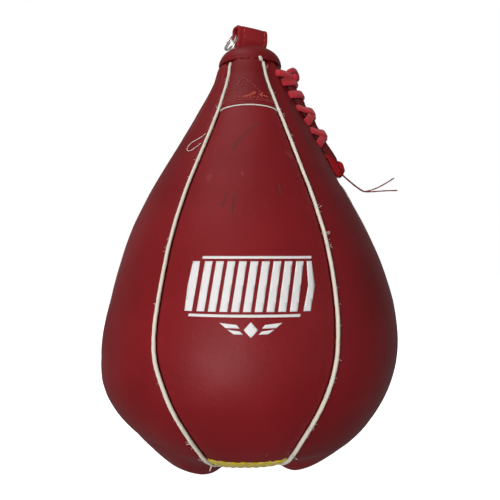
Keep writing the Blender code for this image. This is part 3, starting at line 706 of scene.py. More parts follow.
def hairs(name, strands, diameter, slot):
    """Loose fibres, each a list of points, as one curve object."""
    return add_object(name, cord_curve(name, strands, diameter, 1), WHITE_YARN, slot=slot)


def fibre(start, out, length):
    """A curled fibre that leaves start about along out, and droops."""
    points, heading = [start.copy()], out.normalized()
    turn = Vector((rng.uniform(-1, 1), rng.uniform(-1, 1), rng.uniform(-1, 1)))
    for _ in range(7):
        heading = (heading + turn * 0.22 + Vector((0, 0, -0.024))).normalized()
        points.append(points[-1] + heading * length / 7)
    return points


# ---- camera, light and floor


def add_camera():
    made = bpy.data.objects.new("camera", bpy.data.cameras.new("camera"))
    made.location = CAMERA_PLACE
    made.rotation_euler = (math.radians(90.0), 0.0, 0.0)
    made.data.lens = CAMERA_LENS
    made.data.sensor_width = 36.0
    made.data.clip_start = 0.01
    bpy.context.scene.collection.objects.link(made)
    bpy.context.scene.camera = made


def add_light(name, place, size, power):
    data = bpy.data.lights.new(name, "AREA")
    data.shape = "RECTANGLE"
    data.size, data.size_y = size
    data.energy = power
    made = bpy.data.objects.new(name, data)
    made.location = place
    made.rotation_euler = (Vector(LIGHT_AIM) - Vector(place)).to_track_quat("-Z", "Y").to_euler()
    bpy.context.scene.collection.objects.link(made)
    return made


def add_stage():
    world = bpy.data.worlds.new("studio")
    bpy.context.scene.world = world
    world.use_nodes = True
    tree = world.node_tree
    ground = tree.nodes["Background"]
    way = add_node(tree, "TexCoord", output="Generated")
    parts = tree.nodes.new("ShaderNodeSeparateXYZ")
    tree.links.new(way, parts.inputs[0])
    behind = spread(tree, parts.outputs["Y"], -0.2, 0.9, 0.12, 0.26)
    seen = add_node(tree, "LightPath", output="Is Camera Ray")
    strength = add_node(tree, "Math", [(0, behind), (1, seen)], operation="MAXIMUM")
    ground.inputs["Color"].default_value = (1.0, 1.0, 1.0, 1.0)
    tree.links.new(strength, ground.inputs["Strength"])

    half = 3.0
    corners = [(x, y, FLOOR_HEIGHT) for x, y in ((-half, -half), (half, -half), (half, half), (-half, half))]
    mesh = bpy.data.meshes.new("floor")
    mesh.from_pydata(corners, [], [(0, 1, 2, 3)])
    surface, tree, shader = make_material("pale_floor", (0.90, 0.90, 0.90), 0.9)
    shader.inputs["Emission Color"].default_value = (1.0, 1.0, 1.0, 1.0)
    shader.inputs["Emission Strength"].default_value = 0.90
    mesh.materials.append(surface)
    floor = bpy.data.objects.new("floor", mesh)
    bpy.context.scene.collection.objects.link(floor)
    floor.visible_diffuse = False
    floor.visible_glossy = False

    add_light("key", (-0.30, -0.85, -0.31), (0.50, 0.50), 10.2)
    add_light("fill", (0.75, -0.70, 0.00), (0.50, 0.80), 0.9)
    add_light("top", (-0.30, -0.30, 0.70), (0.70, 0.70), 3.0)
    add_light("back", (0.0, 0.95, 0.05), (0.60, 0.80), 4.0).visible_glossy = False
    bpy.context.scene.view_settings.view_transform = "Standard"


# ---- loose threads


def add_thread(name, route):
    points = smooth_curve(route, 4)
    curve = cord_curve(name, [points], THREAD_DIAMETER, 3)
    curve.use_fill_caps = True
    for i, spot in enumerate(curve.splines[0].points):
        spot.radius = 1.0 + 0.10 * math.sin(i * 1.9)
    made = add_object("loose_" + name, curve, RED_YARN, slot="thread", replaces=["thread_tail_" + name])


# ---- sewn shell


def panel_out(panel, azimuth, along, start, end, extra=0.0):
    """How far the leather stands out of the skin between its two seams."""
    radius, height, _ = outline(along)
    middle, half = (start + end) / 2, max((end - start) / 2, 1e-6)
    nearness = min(abs(azimuth - middle) / half, 1.0)
    opening = slit_open(along)
    out, pinch = extra, PINCH * nearness**4
    for seam, gap in ((panel, azimuth - start), (panel + 1, end - azimuth)):
        away = math.radians(max(gap, 0.0)) * radius
        beside_slit = seam % len(SEAMS) == SLIT_SEAM
        closed = 1.0 - opening if beside_slit else 1.0
        out -= (SEAM_VALLEY + extra) * closed * hump(away, VALLEY_WIDTH)
        if closed < 1.0:
            out -= EDGE_ROLL * (1.0 - closed) * hump(away, EDGE_ROLL_WIDTH)
            if gap < half:
                pinch *= closed
        reach = math.exp(-away / PUCKER_REACH) * (1.0 - hump(away, 0.0012))
        ruffle = waver(along * 60.0, seam * 3.7, 0.5)
        out += PUCKER * reach * math.sin(2 * math.pi * along * LENGTH / PUCKER_PITCH + seam + 2.0 * ruffle)
    turn = math.radians(azimuth)
    spot = Vector((math.sin(turn), math.cos(turn), 0.0)) * radius / RIPPLE_SIZE
    spot.z = height / (RIPPLE_SIZE * 1.6)
    calm = 0.35 if panel == 0 else 1.0
    out += RIPPLE * calm * noise.noise(spot + Vector((panel * 5.0, 0.0, 0.0))) * (1.0 - nearness**2)
    if panel:
        fade = fraction(height, *PLEAT_ENDS)
        drift = 2.2 * waver(azimuth * 0.05, height * 60.0, panel)
        fold = math.sin(turn * PLEATS_PER_TURN + drift)
        out += PLEAT * fade * fold * (1.0 - nearness**4)
    return out - pinch


def seam_edges(panel, along):
    """The azimuths of a panel's two edges."""
    radius = outline(along)[0]
    edges = []
    for seam, way in ((panel, 1.0), (panel + 1, -1.0)):
        open_by = 0.0
        if seam % len(SEAMS) == SLIT_SEAM:
            open_by = math.degrees(SLIT_HALF_WIDTH * slit_open(along) / radius)
        edges.append(seam_azimuth(seam, along) + way * open_by)
    return edges


def panel_point(panel, u, along, extra=0.0):
    start, end = seam_edges(panel, along)
    azimuth = start + (end - start) * u
    return skin(azimuth, along, panel_out(panel, azimuth, along, start, end, extra))


def eased(u):
    """Packs columns close to a panel's edges."""
    return 0.35 * u + 0.65 * (0.5 - 0.5 * math.cos(math.pi * u))


def add_panels():
    made = []
    last = along_at_radius(PANEL_TIP)
    for panel, label in enumerate(PANELS):
        name = label + "_gore"
        point = lambda u, v, p=panel: panel_point(p, eased(u), v * last)
        size = PANEL_COLUMNS, PANEL_ROWS, SHELL_THICK
        made.append(add_sheet(name, point, *size, RED if panel else RED_FRONT, "leather", ["panel_" + label]))
    return made


def add_welts():
    foot = along_at_radius(PANEL_TIP)
    for seam, label in enumerate(WELTS):
        top = along_at_height(SLIT_BOTTOM + 0.002 if seam == SLIT_SEAM else WELT_TOP)
        alongs = spaced(top, foot, round(260 * (foot - top)))
        points, outs = lifted(skin, [(seam_azimuth(seam, along), along) for along in alongs], -WELT_DEPTH)
        for i, point in enumerate(points):
            drift = waver(i * 0.11, seam * 9.0, 0.0) * 0.00016
            points[i] = point + outs[i] * drift

        def section(angle, share, seam=seam):
            lump = 1.0 + 0.10 * waver(share * 140.0, math.cos(angle) * 0.7, seam * 4.0)
            flat = fraction(share, 0.80, 0.95)
            radius = WELT_RADII[0] + (WELT_RADII[1] - WELT_RADII[0]) * fraction(share, 0.1, 0.8)
            end = min(share, 1.0 - share) / 0.006
            size = radius * lump * (0.25 + 0.75 * min(end, 1.0) ** 0.5)
            return (1.0 - 0.22 * flat) * size * math.cos(angle), (1.0 + 0.10 * flat) * size * math.sin(angle)

        add_tube(label + "_piping", points, outs, section, IVORY, "piping", ["welt_" + label])


PIPING_END = ((0.0055, -0.0189, -0.0230), (0.0062, -0.0190, -0.0242), (0.0071, -0.0174, -0.0258))
WELT_TAIL = (  # azimuth and radius, under the bag
    (-22.0, 0.0500), (-25.0, 0.0465), (-28.0, 0.0435), (-31.5, 0.0405), (-35.0, 0.0385), (-38.5, 0.0370),
)


def add_piping_end():
    """The right front welt's cut end, which stands off from the rest under the collar."""
    points = smooth_curve(PIPING_END, 5)
    outs = [Vector((0.25, -0.95, 0.1))] * len(points)
    add_tube("piping_cut_end", points, outs, round_section(0.00095, 0.25, 0.35), IVORY, "piping")


FACING_STITCH = (0.885, 0.925)  # how far down the facing its two rows of stitches are


def facing_foot(nearness):
    return along_at_height(FACING_BOTTOM - FACING_DROP * nearness**2)


def facing_point(u, drop, extra):
    """A point on the facing, drop of the way from its top to its foot."""
    top = along_at_height(FACING_TOP)
    along = top + (facing_foot(abs(2 * u - 1)) - top) * drop
    return panel_point(0, u, along, extra)


def add_facing():
    def point(u, v):
        ridge = sum(0.00022 * hump(v - at, 0.010) for at in FACING_STITCH)
        edge = rounded((1.0 - v) / 0.025)
        return facing_point(eased(u), v, 0.00015 + 0.00085 * edge + ridge)

    size = PANEL_COLUMNS, 70, FACING_THICK
    made = add_sheet("neck_facing", point, *size, RED_TRIM, "leather", ["front_facing"])
    for row, at in enumerate(FACING_STITCH):
        path, outs = lifted(facing_point, [(u, at) for u in spaced(0.04, 0.96, 60)], 0.00125)
        stitches(f"facing_stitches_{row}", path, outs, STITCH_RED, 0.0024, 0.0009, 0.00022)
    path, outs = lifted(facing_point, [(u, 0.004) for u in spaced(0.20, 0.86, 30)], 0.0011)
    stitches("neck_stitches", path, outs, STITCH_ORANGE, 0.0026, 0.0012, 0.00026)
    return made


def add_facing_edge():
    shares = spaced(0.02, 0.98, 80)
    spots = [(0, u, facing_foot(abs(2 * u - 1)) + 0.0007 / LENGTH) for u in shares]
    section = round_section(0.00038, 0.25, 0.01)
    points, outs = lifted(panel_point, spots, 0.0004)
    add_tube("facing_cord", points, outs, section, WHITE_YARN, "piping", ["facing_edge"])


NECK_STITCHES = (  # the pattern sewn through the facing, as it's seen from the front
    ((-0.0040, -0.0377), (-0.0060, -0.0402), (-0.0078, -0.0432), (-0.0090, -0.0468), (-0.0090, -0.0502)),
    ((-0.0040, -0.0377), (-0.0012, -0.0394), (0.0034, -0.0440), (0.0063, -0.0474), (0.0088, -0.0497)),
    ((-0.0092, -0.0503), (-0.0030, -0.0505), (0.0040, -0.0504), (0.0109, -0.0500)),
    ((-0.0012, -0.0428), (-0.0052, -0.0424), (-0.0064, -0.0440), (-0.0058, -0.0478), (-0.0002, -0.0480)),
)


def add_neck_pattern(catcher):
    """A reinforcing pattern of short stitches, sewn through the facing."""
    for number, route in enumerate(NECK_STITCHES):
        path = [laid(catcher, spot.x, spot.y, 0.00016) for spot in smooth_curve(route, 8)]
        outs = [outwards(spot, 0.012) for spot in path]
        surface = STITCH_ORANGE if number == 2 else STITCH_RED
        stitches(f"neck_pattern_{number}", path, outs, surface, 0.0014, 0.0008, 0.00025)


def add_facing_ridges():
    """Two sewn ridges over the facing's lower edge."""
    for number, drop in enumerate(FACING_STITCH):
        points = [facing_point(i / 60, drop, 0.00128) for i in range(2, 59)]
        outs = [outwards(point, 0.01) for point in points]
        section = round_section(0.00015, 0.3, 0.03)
        add_tube(f"facing_ridge_{number}", points, outs, section, STITCH_RED, "thread")


def add_welt_tail():
    """The left front welt's loose yarn, which goes on round the neighbour's foot."""
    spots = [(spot.x, along_at_radius(spot.y)) for spot in smooth_curve(WELT_TAIL, 6)]
    add_tube("welt_tail", *lifted(skin, spots, 0.0006), round_section(0.00045, 0.3, 0.08), IVORY, "piping")


def add_label():
    """The woven label, folded over the front panel's foot, with a frayed upper edge."""
    top, foot = (along_at_radius(radius) for radius in LABEL_RADII)

    def point(u, v):
        ragged = 0.0012 / LENGTH * waver(u * 14.0, 0.0, 1.0) * (1.0 - v)
        along = top + (foot - top) * v + ragged
        roll = math.sin(math.pi * min(v * 4.0, 1.0) / 2) * math.sin(math.pi * min((1.0 - v) * 6.0, 1.0) / 2)
        twist = 0.00018 * math.sin(2 * math.pi * (u * 9.0 + v * 0.8))
        return panel_point(0, 0.02 + 0.96 * u, along, 0.0003 + 0.0006 * roll + twist)

    add_sheet("yellow_tape", point, 72, 14, LABEL_THICK, YELLOW, "label", ["woven_label"], run=(1.0, 0.010))

    strands = []
    for _ in range(34):
        u = rng.uniform(0.0, 1.0)
        spot = point(u, rng.uniform(0.0, 0.06))
        away = Vector((rng.uniform(-0.8, 0.8), -0.7, rng.uniform(0.1, 0.9)))
        strands.append(fibre(spot, away, rng.uniform(0.0008, 0.0024)))
    hairs("tape_fray", strands, 0.00018, "label")


# ---- laced slit


def add_tongue():
    """The padded flap under the lace: a soft roll that bulges out of the slit."""
    rows, sides = 60, 20
    top, foot = -0.0300, -0.0865
    vertices, runs = [], []
    for v in spaced(0.0, 1.0, rows):
        height = top + (foot - top) * v
        ends = min(v / 0.10, (1.0 - v) / 0.04, 1.0)
        plump = 0.35 + 0.65 * rounded(ends)
        bulge = 0.0046 + 0.0006 * waver(height * 260.0, 4.0, 0.0)
        bulge += 0.0010 * fraction(height, -0.072, -0.082)
        wide = 0.0032 + 0.0003 * waver(height * 200.0, 0.0, 2.0)
        for i in range(sides):
            angle = 2 * math.pi * i / sides
            up, side = math.cos(angle), math.sin(angle)
            reach = bulge if up > 0 else 0.0022
            aside = wide * plump * math.copysign(abs(side) ** 0.8, side)
            vertices.append(slit_point(height, aside, reach * plump * math.copysign(abs(up) ** 0.8, up)))
            runs.append((i / sides, height))
    mesh = mesh_from("padded_tongue", vertices, tube_faces(rows + 1, sides), runs)
    made = add_object("padded_tongue", mesh, MAROON, "bag", "leather", ["slit_tongue"])


TAB_ENDS = (-0.0810, -0.0938)
TAB_PLIES = (  # how far aside and out, from each ply's near edge over its fold to its far edge
    ("near", BRIGHT, ((-0.0062, 0.0006), (-0.0048, 0.0026), (-0.0034, 0.0042), (-0.0026, 0.0034))),
    # painted shade: a darker maroon sheet between the plies, standing for the shade in the gap there
    ("hollow_shade", MAROON, ((-0.0026, 0.0022), (-0.0020, 0.0040), (-0.0014, 0.0048), (-0.0008, 0.0040))),
    ("far", BRIGHT, ((-0.0010, 0.0030), (0.0002, 0.0060), (0.0016, 0.0072), (0.0034, 0.0040))),
)


def add_tab():
    """The tongue's folded end: two bright plies, with a darker maroon sheet as painted shade in the gap
    between them.
    """
    for number, (label, surface, section) in enumerate(TAB_PLIES):
        curve = smooth_curve(section, 8)

        def point(u, v, curve=curve, number=number):
            spot = curve[round(u * (len(curve) - 1))]
            top = TAB_ENDS[0] + 0.0016 * (number == 0)
            height = top + (TAB_ENDS[1] - top) * v
            rise = 0.30 + 0.70 * fraction(v, 0.0, 0.55)
            tuck = 1.0 - 0.30 * fraction(v, 0.86, 1.0)
            out = 0.0006 + (spot.y - 0.0006) * rise * tuck + 0.0004 * math.sin(7.0 * v + 2.0 * number)
            return slit_point(height + 0.0012 * u * v, spot.x + 0.0008 * (v - 0.5), out)

        add_sheet("tongue_tab_" + label, point, len(curve) - 1, 22, TAB_THICK, surface, "leather")


def lace_piece(name, route, width, thickness, twist=0.0):
    """A run of the flat lace through spots of (height, aside, out)."""
    points = smooth_curve([slit_point(*spot) for spot in route], 8)
    middle = slit_point(route[len(route) // 2][0], 0.0, -0.010)
    outs = []
    for i, point in enumerate(points):
        run = (points[min(i + 1, len(points) - 1)] - points[max(i - 1, 0)]).normalized()
        outs.append(Matrix.Rotation(twist * i / len(points), 3, run) @ (point - middle).normalized())
    return add_tube(name, points, outs, ribbon_section(width, thickness, 0.04), LACE, "lace")


HOLE_ASIDE = 0.0080
CROSSINGS = (  # height at the near hole, height over the tongue, and how far it stands out there
    (-0.0364, -0.0372, 0.0058), (-0.0442, -0.0452, 0.0056), (-0.0524, -0.0564, 0.0061),
    (-0.0610, -0.0578, 0.0053), (-0.0660, -0.0696, 0.0061), (-0.0738, -0.0706, 0.0053),
)


def add_lace():
    """Six crossings over the tongue, the last four in two pairs that meet, and the knot at the top."""
    for number, (near, over, high) in enumerate(CROSSINGS):
        drop = over - near
        route = (
            (near + 0.0002, -HOLE_ASIDE - 0.0008, -0.0014),
            (near, -HOLE_ASIDE + 0.0002, 0.0008),
            (near + drop * 0.33, -0.0062, 0.0022),
            (near + drop * 0.76, -0.0038, high * 0.78),
            (near + drop * 0.97, -0.0008, high),
            (over, 0.0028, high * 0.86),
            (over, 0.0056, 0.0024),
            (over, HOLE_ASIDE - 0.0004, 0.0007),
            (over, HOLE_ASIDE + 0.0006, -0.0014),
        )
        made = lace_piece(f"lace_crossing_{number}", route, 0.0053, 0.0020)
        if number == 0:
            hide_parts("lace")
    strand = (
        (-0.0318, -0.0124, -0.0012), (-0.0317, -0.0112, 0.0010), (-0.0322, -0.0085, 0.0026),
        (-0.0333, -0.0052, 0.0042), (-0.0345, -0.0020, 0.0050), (-0.0350, 0.0020, 0.0044),
        (-0.0350, 0.0060, 0.0016), (-0.0350, 0.0084, -0.0012),
    )
    lace_piece("lace_knot_strand", strand, 0.0046, 0.0023)
    loop = (
        (-0.0318, -0.0048, 0.0030), (-0.0302, -0.0034, 0.0052), (-0.0294, -0.0012, 0.0069),
        (-0.0299, 0.0014, 0.0080), (-0.0320, 0.0024, 0.0084), (-0.0344, 0.0014, 0.0077),
        (-0.0356, -0.0008, 0.0066), (-0.0345, -0.0022, 0.0068), (-0.0328, -0.0020, 0.0064),
    )
    lace_piece("lace_knot_loop", loop, 0.0033, 0.0027, twist=0.4)
    end = (
        (-0.0300, 0.0092, -0.0012), (-0.0294, 0.0078, 0.0014), (-0.0294, 0.0048, 0.0048),
        (-0.0300, 0.0020, 0.0058), (-0.0312, -0.0012, 0.0050),
    )
    lace_piece("lace_loose_end", end, 0.0036, 0.0020)


# ---- crown


STRAP_ROWS = (  # leg, side, which way it faces, and how far across the strap the row is
    ("front", "left", -1.0, -LOOP_WIDTH / 2 + 0.0044),
    ("front", "right", -1.0, LOOP_WIDTH / 2 - 0.0026),
    ("back", "right", 1.0, LOOP_WIDTH / 2 - 0.0026),
)


def strap_turn():
    return Matrix.Rotation(math.radians(LOOP_YAW), 3, "Z")


def strap_section(inset):
    """The strap's closed section with its plies thinned by inset on each face."""
    corner = LOOP_INNER_CORNER
    half, root = LOOP_HALF_GAP, LOOP_ROOT_HALF_GAP
    outer, inner = [], []
    for legs, add in ((outer, LOOP_PLY - inset), (inner, inset)):
        spots = [(root, LOOP_FOOT), (root, LOOP_ROOT - 0.001)]
        spots += [(half * 0.55 + root * 0.45, (LOOP_ROOT + LOOP_WAIST) / 2)]
        spots += [(half, LOOP_WAIST + 0.0008), (half, LOOP_TOP - corner)]
        legs += [tuple(p) for p in smooth_curve([(y + add, z) for y, z in spots], 5)]
        radius = corner + add
        for i in range(1, 9):
            turn = 0.5 * math.pi * i / 8
            y, z = radius * math.cos(turn), radius * math.sin(turn)
            legs.append((half - corner + y, LOOP_TOP - corner + z))
    right = outer + [(-y, z) for y, z in outer[::-1]]
    return right + [(-y, z) for y, z in inner] + inner[::-1]


def add_strap():
    turn = strap_turn()
    stations = [0.0, 0.006, 0.016, 0.03, 0.05, 0.10, 0.13, 0.16, 0.25, 0.375, 0.5]
    stations += [1.0 - s for s in stations[-2::-1]]
    vertices = []
    for share in stations:
        edge = min(share, 1.0 - share) * LOOP_WIDTH
        inset = 0.0008 * (1.0 - rounded(edge / 0.0011))
        groove = 0.00018 * hump(edge - 0.0027, 0.0007)
        for y, z in strap_section(inset + groove):
            bend = 0.00025 * waver(share * 3.0, y * 300.0, z * 90.0)
            vertices.append(turn @ Vector((LOOP_WIDTH * (share - 0.5), y + bend, z)))
    count = len(vertices) // len(stations)
    runs = [(i / count, j * 0.001) for j in range(len(stations)) for i in range(count)]
    mesh = mesh_from("double_strap", vertices, tube_faces(len(stations), count), runs, 50.0)
    # The strap's leather is painted lighter than the trim, standing for light.
    add_object("double_strap", mesh, STRAP_RED_PAINTED_LIGHT, "bag", "leather", ["hang_loop"])

    for leg, side, way, across in STRAP_ROWS:
        path = []
        for z in spaced(LOOP_TOP, LOOP_TOP - 0.0100, 24):
            closed = fraction(-z, -LOOP_WAIST, -LOOP_ROOT)
            reach = LOOP_HALF_GAP + (LOOP_ROOT_HALF_GAP - LOOP_HALF_GAP) * closed
            path.append(turn @ Vector((across, way * (reach + LOOP_PLY - 0.00008), z)))
        outs = [turn @ Vector((0.0, way, 0.0))] * len(path)
        stitches(f"strap_stitches_{leg}_{side}", path, outs, STITCH_ORANGE, 0.0024, 0.0011, 0.00024)


def add_split_ring():
    """Two close turns of wire with their ends lifted off, through the back leg, which has no hole cut."""
    turn = strap_turn()
    across = -LOOP_WIDTH / 2 + RING_HOLE_FROM_EDGE
    hole = turn @ Vector((across, LOOP_HALF_GAP + LOOP_PLY / 2, RING_HOLE_HEIGHT))
    hang = math.radians(RING_HANG)
    down = turn @ Vector((-math.sin(hang), 0.0, -math.cos(hang)))
    back = turn @ Vector((0.0, 1.0, 0.0))
    axis = down.cross(back)
    middle = hole + down * math.sqrt(RING_RADIUS**2 - RING_BACKSET**2) + back * RING_BACKSET
    points, outs = [], []
    for share in spaced(0.0, 1.0, 150):
        angle = 2 * math.pi * RING_TURNS * share
        radial = math.cos(angle) * down + math.sin(angle) * back
        kink = 0.0006 * (fraction(share, 0.07, 0.0) + fraction(share, 0.93, 1.0))
        aside = RING_PITCH * RING_TURNS * (share - 0.5)
        points.append(middle + (RING_RADIUS + kink) * radial + aside * axis)
        outs.append(radial)
    section = round_section(RING_WIRE, 0.0, 0.006)
    add_tube("wire_split_ring", points, outs, section, STEEL, "steel", ["split_ring"], "ring")


def add_collar():
    """The domed collar, drawn down over the neck, with a rolled lip."""
    profile = [
        (0.0158, -0.0230), (0.0178, -0.0240), (0.0188, -0.0243), (0.0194, -0.0239), (0.0195, -0.0231),
        (0.01915, -0.0224), (0.0192, -0.0217),
    ]
    steps = 16
    for i in range(3, steps + 1):
        turn = 0.5 * math.pi * i / steps
        radius = (COLLAR_RADIUS - 0.0001) * math.cos(turn) ** (2 / COLLAR_POWER) if i < steps else 0.0004
        profile.append((radius, COLLAR_BOTTOM + COLLAR_HEIGHT * math.sin(turn) ** (2 / COLLAR_POWER)))
    profile = smooth_curve(profile, 3)
    flat = strap_turn().inverted()

    def point(u, v):
        spot = profile[round(v * (len(profile) - 1))]
        angle = 2 * math.pi * u
        place = Vector((spot.x * math.sin(angle), -spot.x * math.cos(angle), spot.y))
        local = flat @ place
        beyond = max(abs(local.y) - LOOP_PLY - LOOP_ROOT_HALF_GAP, 0.0)
        away = math.hypot(max(abs(local.x) - LOOP_WIDTH / 2, 0.0), beyond)
        place.z += 0.0007 * hump(away, 0.0012) * fraction(spot.y, -0.019, -0.014)
        wrinkle = waver(math.sin(angle) * 3.0, math.cos(angle) * 3.0, spot.y * 120.0)
        drop = Vector((0.0, 0.0, place.z * 0.010 * wrinkle))
        return place * (1.0 + 0.010 * wrinkle * fraction(spot.x, 0.004, 0.015)) - drop

    rows = len(profile) - 1
    add_sheet("domed_collar", point, 96, rows, COLLAR_THICK, RED_TRIM, "leather", ["collar"], wrap=True)


# ---- print, fluff and the inner pieces


def front_catcher(gores):
    """A tree of some sheets' faces, for laying things on them."""
    bpy.context.view_layer.update()
    vertices, faces = [], []
    for gore in gores:
        first = len(vertices)
        vertices += [v.co.copy() for v in gore.data.vertices]
        faces += [tuple(first + i for i in face.vertices) for face in gore.data.polygons]
    return BVHTree.FromPolygons(vertices, faces)


def laid(catcher, x, z, lift):
    """The point on the front of the bag at this x and z, lifted off it."""
    spot, normal, _, _ = catcher.ray_cast(Vector((x, -0.3, z)), Vector((0.0, 1.0, 0.0)))
    return spot - normal * math.copysign(lift, normal.y)


def bar(x, z, width, height, lean):
    """A slanted bar with its foot at x, z."""
    return [(x, z), (x + width, z), (x + width + lean, z + height), (x + lean, z + height)]


PRINT_MIDDLE = 0.0004


def print_shapes():
    """Speed bars between two rules with swept ends, over a small winged lozenge."""
    shapes = []
    foot, height, lean = -0.1672, 0.0240, 0.0062
    for number in range(9):
        shapes.append(bar(-0.0258 + 0.0056 * number, foot, 0.0038, height, lean * 0.6))
    shapes.append(bar(-0.0300, -0.1697, 0.0540, 0.0013, 0.0004))
    shapes.append(bar(-0.0236, -0.1420, 0.0540, 0.0013, 0.0004))
    mid, top = -0.1552, -0.1432
    left = [(-0.0318, foot), (-0.0282, foot), (-0.0262, mid), (-0.0246, top), (-0.0282, top), (-0.0306, mid)]
    right = [(0.0256, foot), (0.0292, foot), (0.0318, mid), (0.0306, top), (0.0280, top), (0.0284, mid)]
    shapes += [left, right, [(-0.0030, -0.1755), (0.0004, -0.1792), (0.0038, -0.1755), (0.0004, -0.1718)]]
    for way in (-1.0, 1.0):
        for row, (reach, low, thick) in enumerate(((0.0150, -0.1748, 0.0017), (0.0112, -0.1776, 0.0015))):
            inner = 0.0052 if row == 0 else 0.0036
            shape = [(way * inner, low), (way * (inner + 0.0016), low + thick)]
            shape += [(way * reach, low + thick * 1.5), (way * (reach - 0.0030), low + thick * 0.1)]
            shapes.append([(PRINT_MIDDLE + x, z) for x, z in shape])
    return shapes


def add_print(catcher):
    shape = bmesh.new()
    for outline_points in print_shapes():
        shape.faces.new([shape.verts.new((x, 0.0, z)) for x, z in outline_points])
    step = 0.0014
    for way, low, high in ((Vector((1, 0, 0)), -0.034, 0.034), (Vector((0, 0, 1)), -0.182, -0.138)):
        cut = low
        while cut < high:
            parts = shape.verts[:] + shape.edges[:] + shape.faces[:]
            bmesh.ops.bisect_plane(shape, geom=parts, plane_co=way * cut, plane_no=way)
            cut += step
    for vertex in shape.verts:
        vertex.co = laid(catcher, vertex.co.x, vertex.co.z, 0.00011)
    mesh = bpy.data.meshes.new("speed_bar_print")
    shape.to_mesh(mesh)
    shape.free()
    mesh.shade_smooth()
    thicken(add_object("speed_bar_print", face_outwards(mesh), INK, slot="piping"), PRINT_THICK)


ORANGE_ENDS = (
    (
        (-0.0036, -0.0504), (-0.0020, -0.0500), (0.0000, -0.0492), (0.0022, -0.0476),
        (0.0030, -0.0480), (0.0012, -0.0492), (-0.0008, -0.0502),
    ),
    ((0.0052, -0.0486), (0.0064, -0.0496), (0.0082, -0.0496), (0.0106, -0.0503)),
    ((0.0072, -0.0474), (0.0064, -0.0488), (0.0074, -0.0500)),
)
WHITE_LOOP = (
    (-0.0246, -0.0722), (-0.0268, -0.0741), (-0.0300, -0.0757), (-0.0332, -0.0774), (-0.0350, -0.0796),
    (-0.0352, -0.0814), (-0.0338, -0.0823), (-0.0312, -0.0814), (-0.0290, -0.0798), (-0.0270, -0.0782),
)
CREASES = (  # soft folds worn into the front panel, along which dark strips are laid as painted shade
    ((0.0062, -0.0660), (0.0020, -0.0695), (-0.0030, -0.0742), (-0.0068, -0.0786), (-0.0096, -0.0836)),
    ((-0.0072, -0.1070), (-0.0080, -0.1110), (-0.0088, -0.1150), (-0.0090, -0.1195)),
    ((-0.0118, -0.1085), (-0.0134, -0.1125), (-0.0148, -0.1160)),
    ((0.0150, -0.1030), (0.0156, -0.1065), (0.0164, -0.1100)),
)


def add_orange_ends(catcher):
    """Loose ends of the bright thread on the facing."""
    for number, route in enumerate(ORANGE_ENDS):
        points = [laid(catcher, spot.x, spot.y, 0.0003) for spot in smooth_curve(route, 5)]
        outs = [Vector((0.0, -1.0, 0.3))] * len(points)
        section = round_section(0.00034, 0.3, 0.06)
        add_tube(f"facing_thread_end_{number}", points, outs, section, STITCH_ORANGE, "thread")


def laid_thread(name, catcher, route, surface, radius, out, slot, flat=1.0):
    points = [laid(catcher, spot.x, spot.y, out) for spot in smooth_curve(route, 8)]
    plain = round_section(radius, 0.3, 0.06)

    def section(angle, share):
        up, side = plain(angle, share)
        return up * flat, side

    add_tube(name, points, [outwards(spot, 0.01) for spot in points], section, surface, slot)


def add_white_loop(catcher):
    """The loose end of the left welt's thread, lying on the front left gore."""
    laid_thread("welt_thread_loop", catcher, WHITE_LOOP, WHITE_YARN, 0.00019, 0.0006, "thread")


# Painted shade: dark flattened strips laid on the front panel along its folds, standing for the shade in
# them.
def add_painted_crease_shade(catcher):
    for number, route in enumerate(CREASES):
        laid_thread(f"front_crease_painted_shade_{number}", catcher, route, CREASE_PAINTED_SHADE, 0.00027, 0.0, "leather", 0.28)


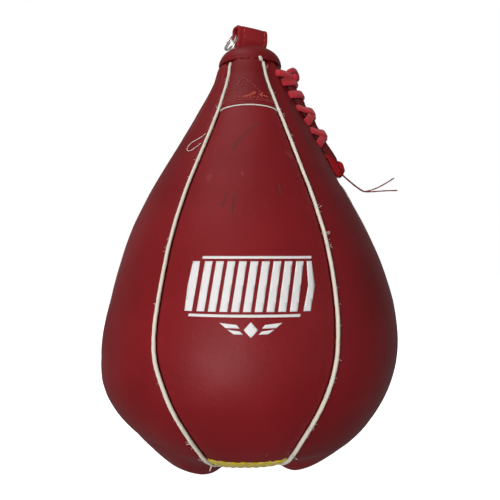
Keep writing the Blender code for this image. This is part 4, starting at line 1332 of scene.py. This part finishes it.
FLUFF = (  # seam, height, how many fibres, how long
    (0, -0.0372, 8, 0.0017), (0, -0.0560, 2, 0.0013), (0, -0.2330, 7, 0.0020), (0, -0.2440, 5, 0.0018),
    (1, -0.0300, 3, 0.0014), (1, -0.0610, 2, 0.0016), (1, -0.1150, 4, 0.0016), (1, -0.1290, 7, 0.0024),
    (1, -0.1360, 5, 0.0016), (1, -0.1900, 4, 0.0016), (1, -0.2250, 6, 0.0016), (1, -0.2420, 6, 0.0018),
)


def beside_seam(seam, along, wider, out):
    """A spot close beside a seam, and the way on and out from there."""
    azimuth = seam_azimuth(seam, along)
    turn = math.degrees(rng.choice((-1.0, 1.0)) * FLUFF_ASIDE / outline(along)[0])
    start = skin(azimuth + turn, along, 0.0002)
    return start, skin(azimuth + turn * wider, along, out) - start


def add_fluff():
    strands = []
    for seam, height, count, length in FLUFF:
        for _ in range(count):
            along = along_at_height(height + rng.uniform(-0.0012, 0.0012))
            strands.append(fibre(*beside_seam(seam, along, 2.2, 0.0022), length * rng.uniform(0.6, 1.2)))
    for seam in (0, 1, 3, 4, 5):
        for _ in range(46):
            along = rng.uniform(0.08, 0.93)
            strands.append(fibre(*beside_seam(seam, along, 2.0, 0.0012), rng.uniform(0.0005, 0.0012)))
    hairs("welt_fluff", strands, 0.00016, "piping")

    start = slit_point(-0.0835, -0.0040, 0.0008)
    tuft = [fibre(start, Vector((rng.uniform(-1, 1), -1.0, rng.uniform(-1, 1))), 0.0013) for _ in range(9)]
    hairs("slit_tuft", tuft, 0.00022, "thread")


def finish_inside():
    """Better surfaces for the pieces that stay as the CAD made them."""
    for surface, nodes in (
        (COTTON, ("lining", "bottom_disc", "crown_disc")),
        (BUTYL, ("bladder",)),
        (VALVE, ("valve_body", "valve_plug")),
    ):
        for node in nodes:
            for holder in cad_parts[node].material_slots:
                holder.material = surface


add_camera()
add_thread("long", THREAD_A)
add_thread("short", THREAD_B)
add_stage()
gores = add_panels()
add_welts()
add_piping_end()
facing = add_facing()
add_facing_edge()
add_facing_ridges()
add_welt_tail()
add_label()
add_tongue()
add_tab()
add_lace()
add_strap()
add_split_ring()
add_collar()
catcher = front_catcher(gores)
add_print(catcher)
add_white_loop(catcher)
neck = front_catcher([facing])
add_neck_pattern(neck)
add_orange_ends(neck)
add_painted_crease_shade(catcher)
add_fluff()
finish_inside()
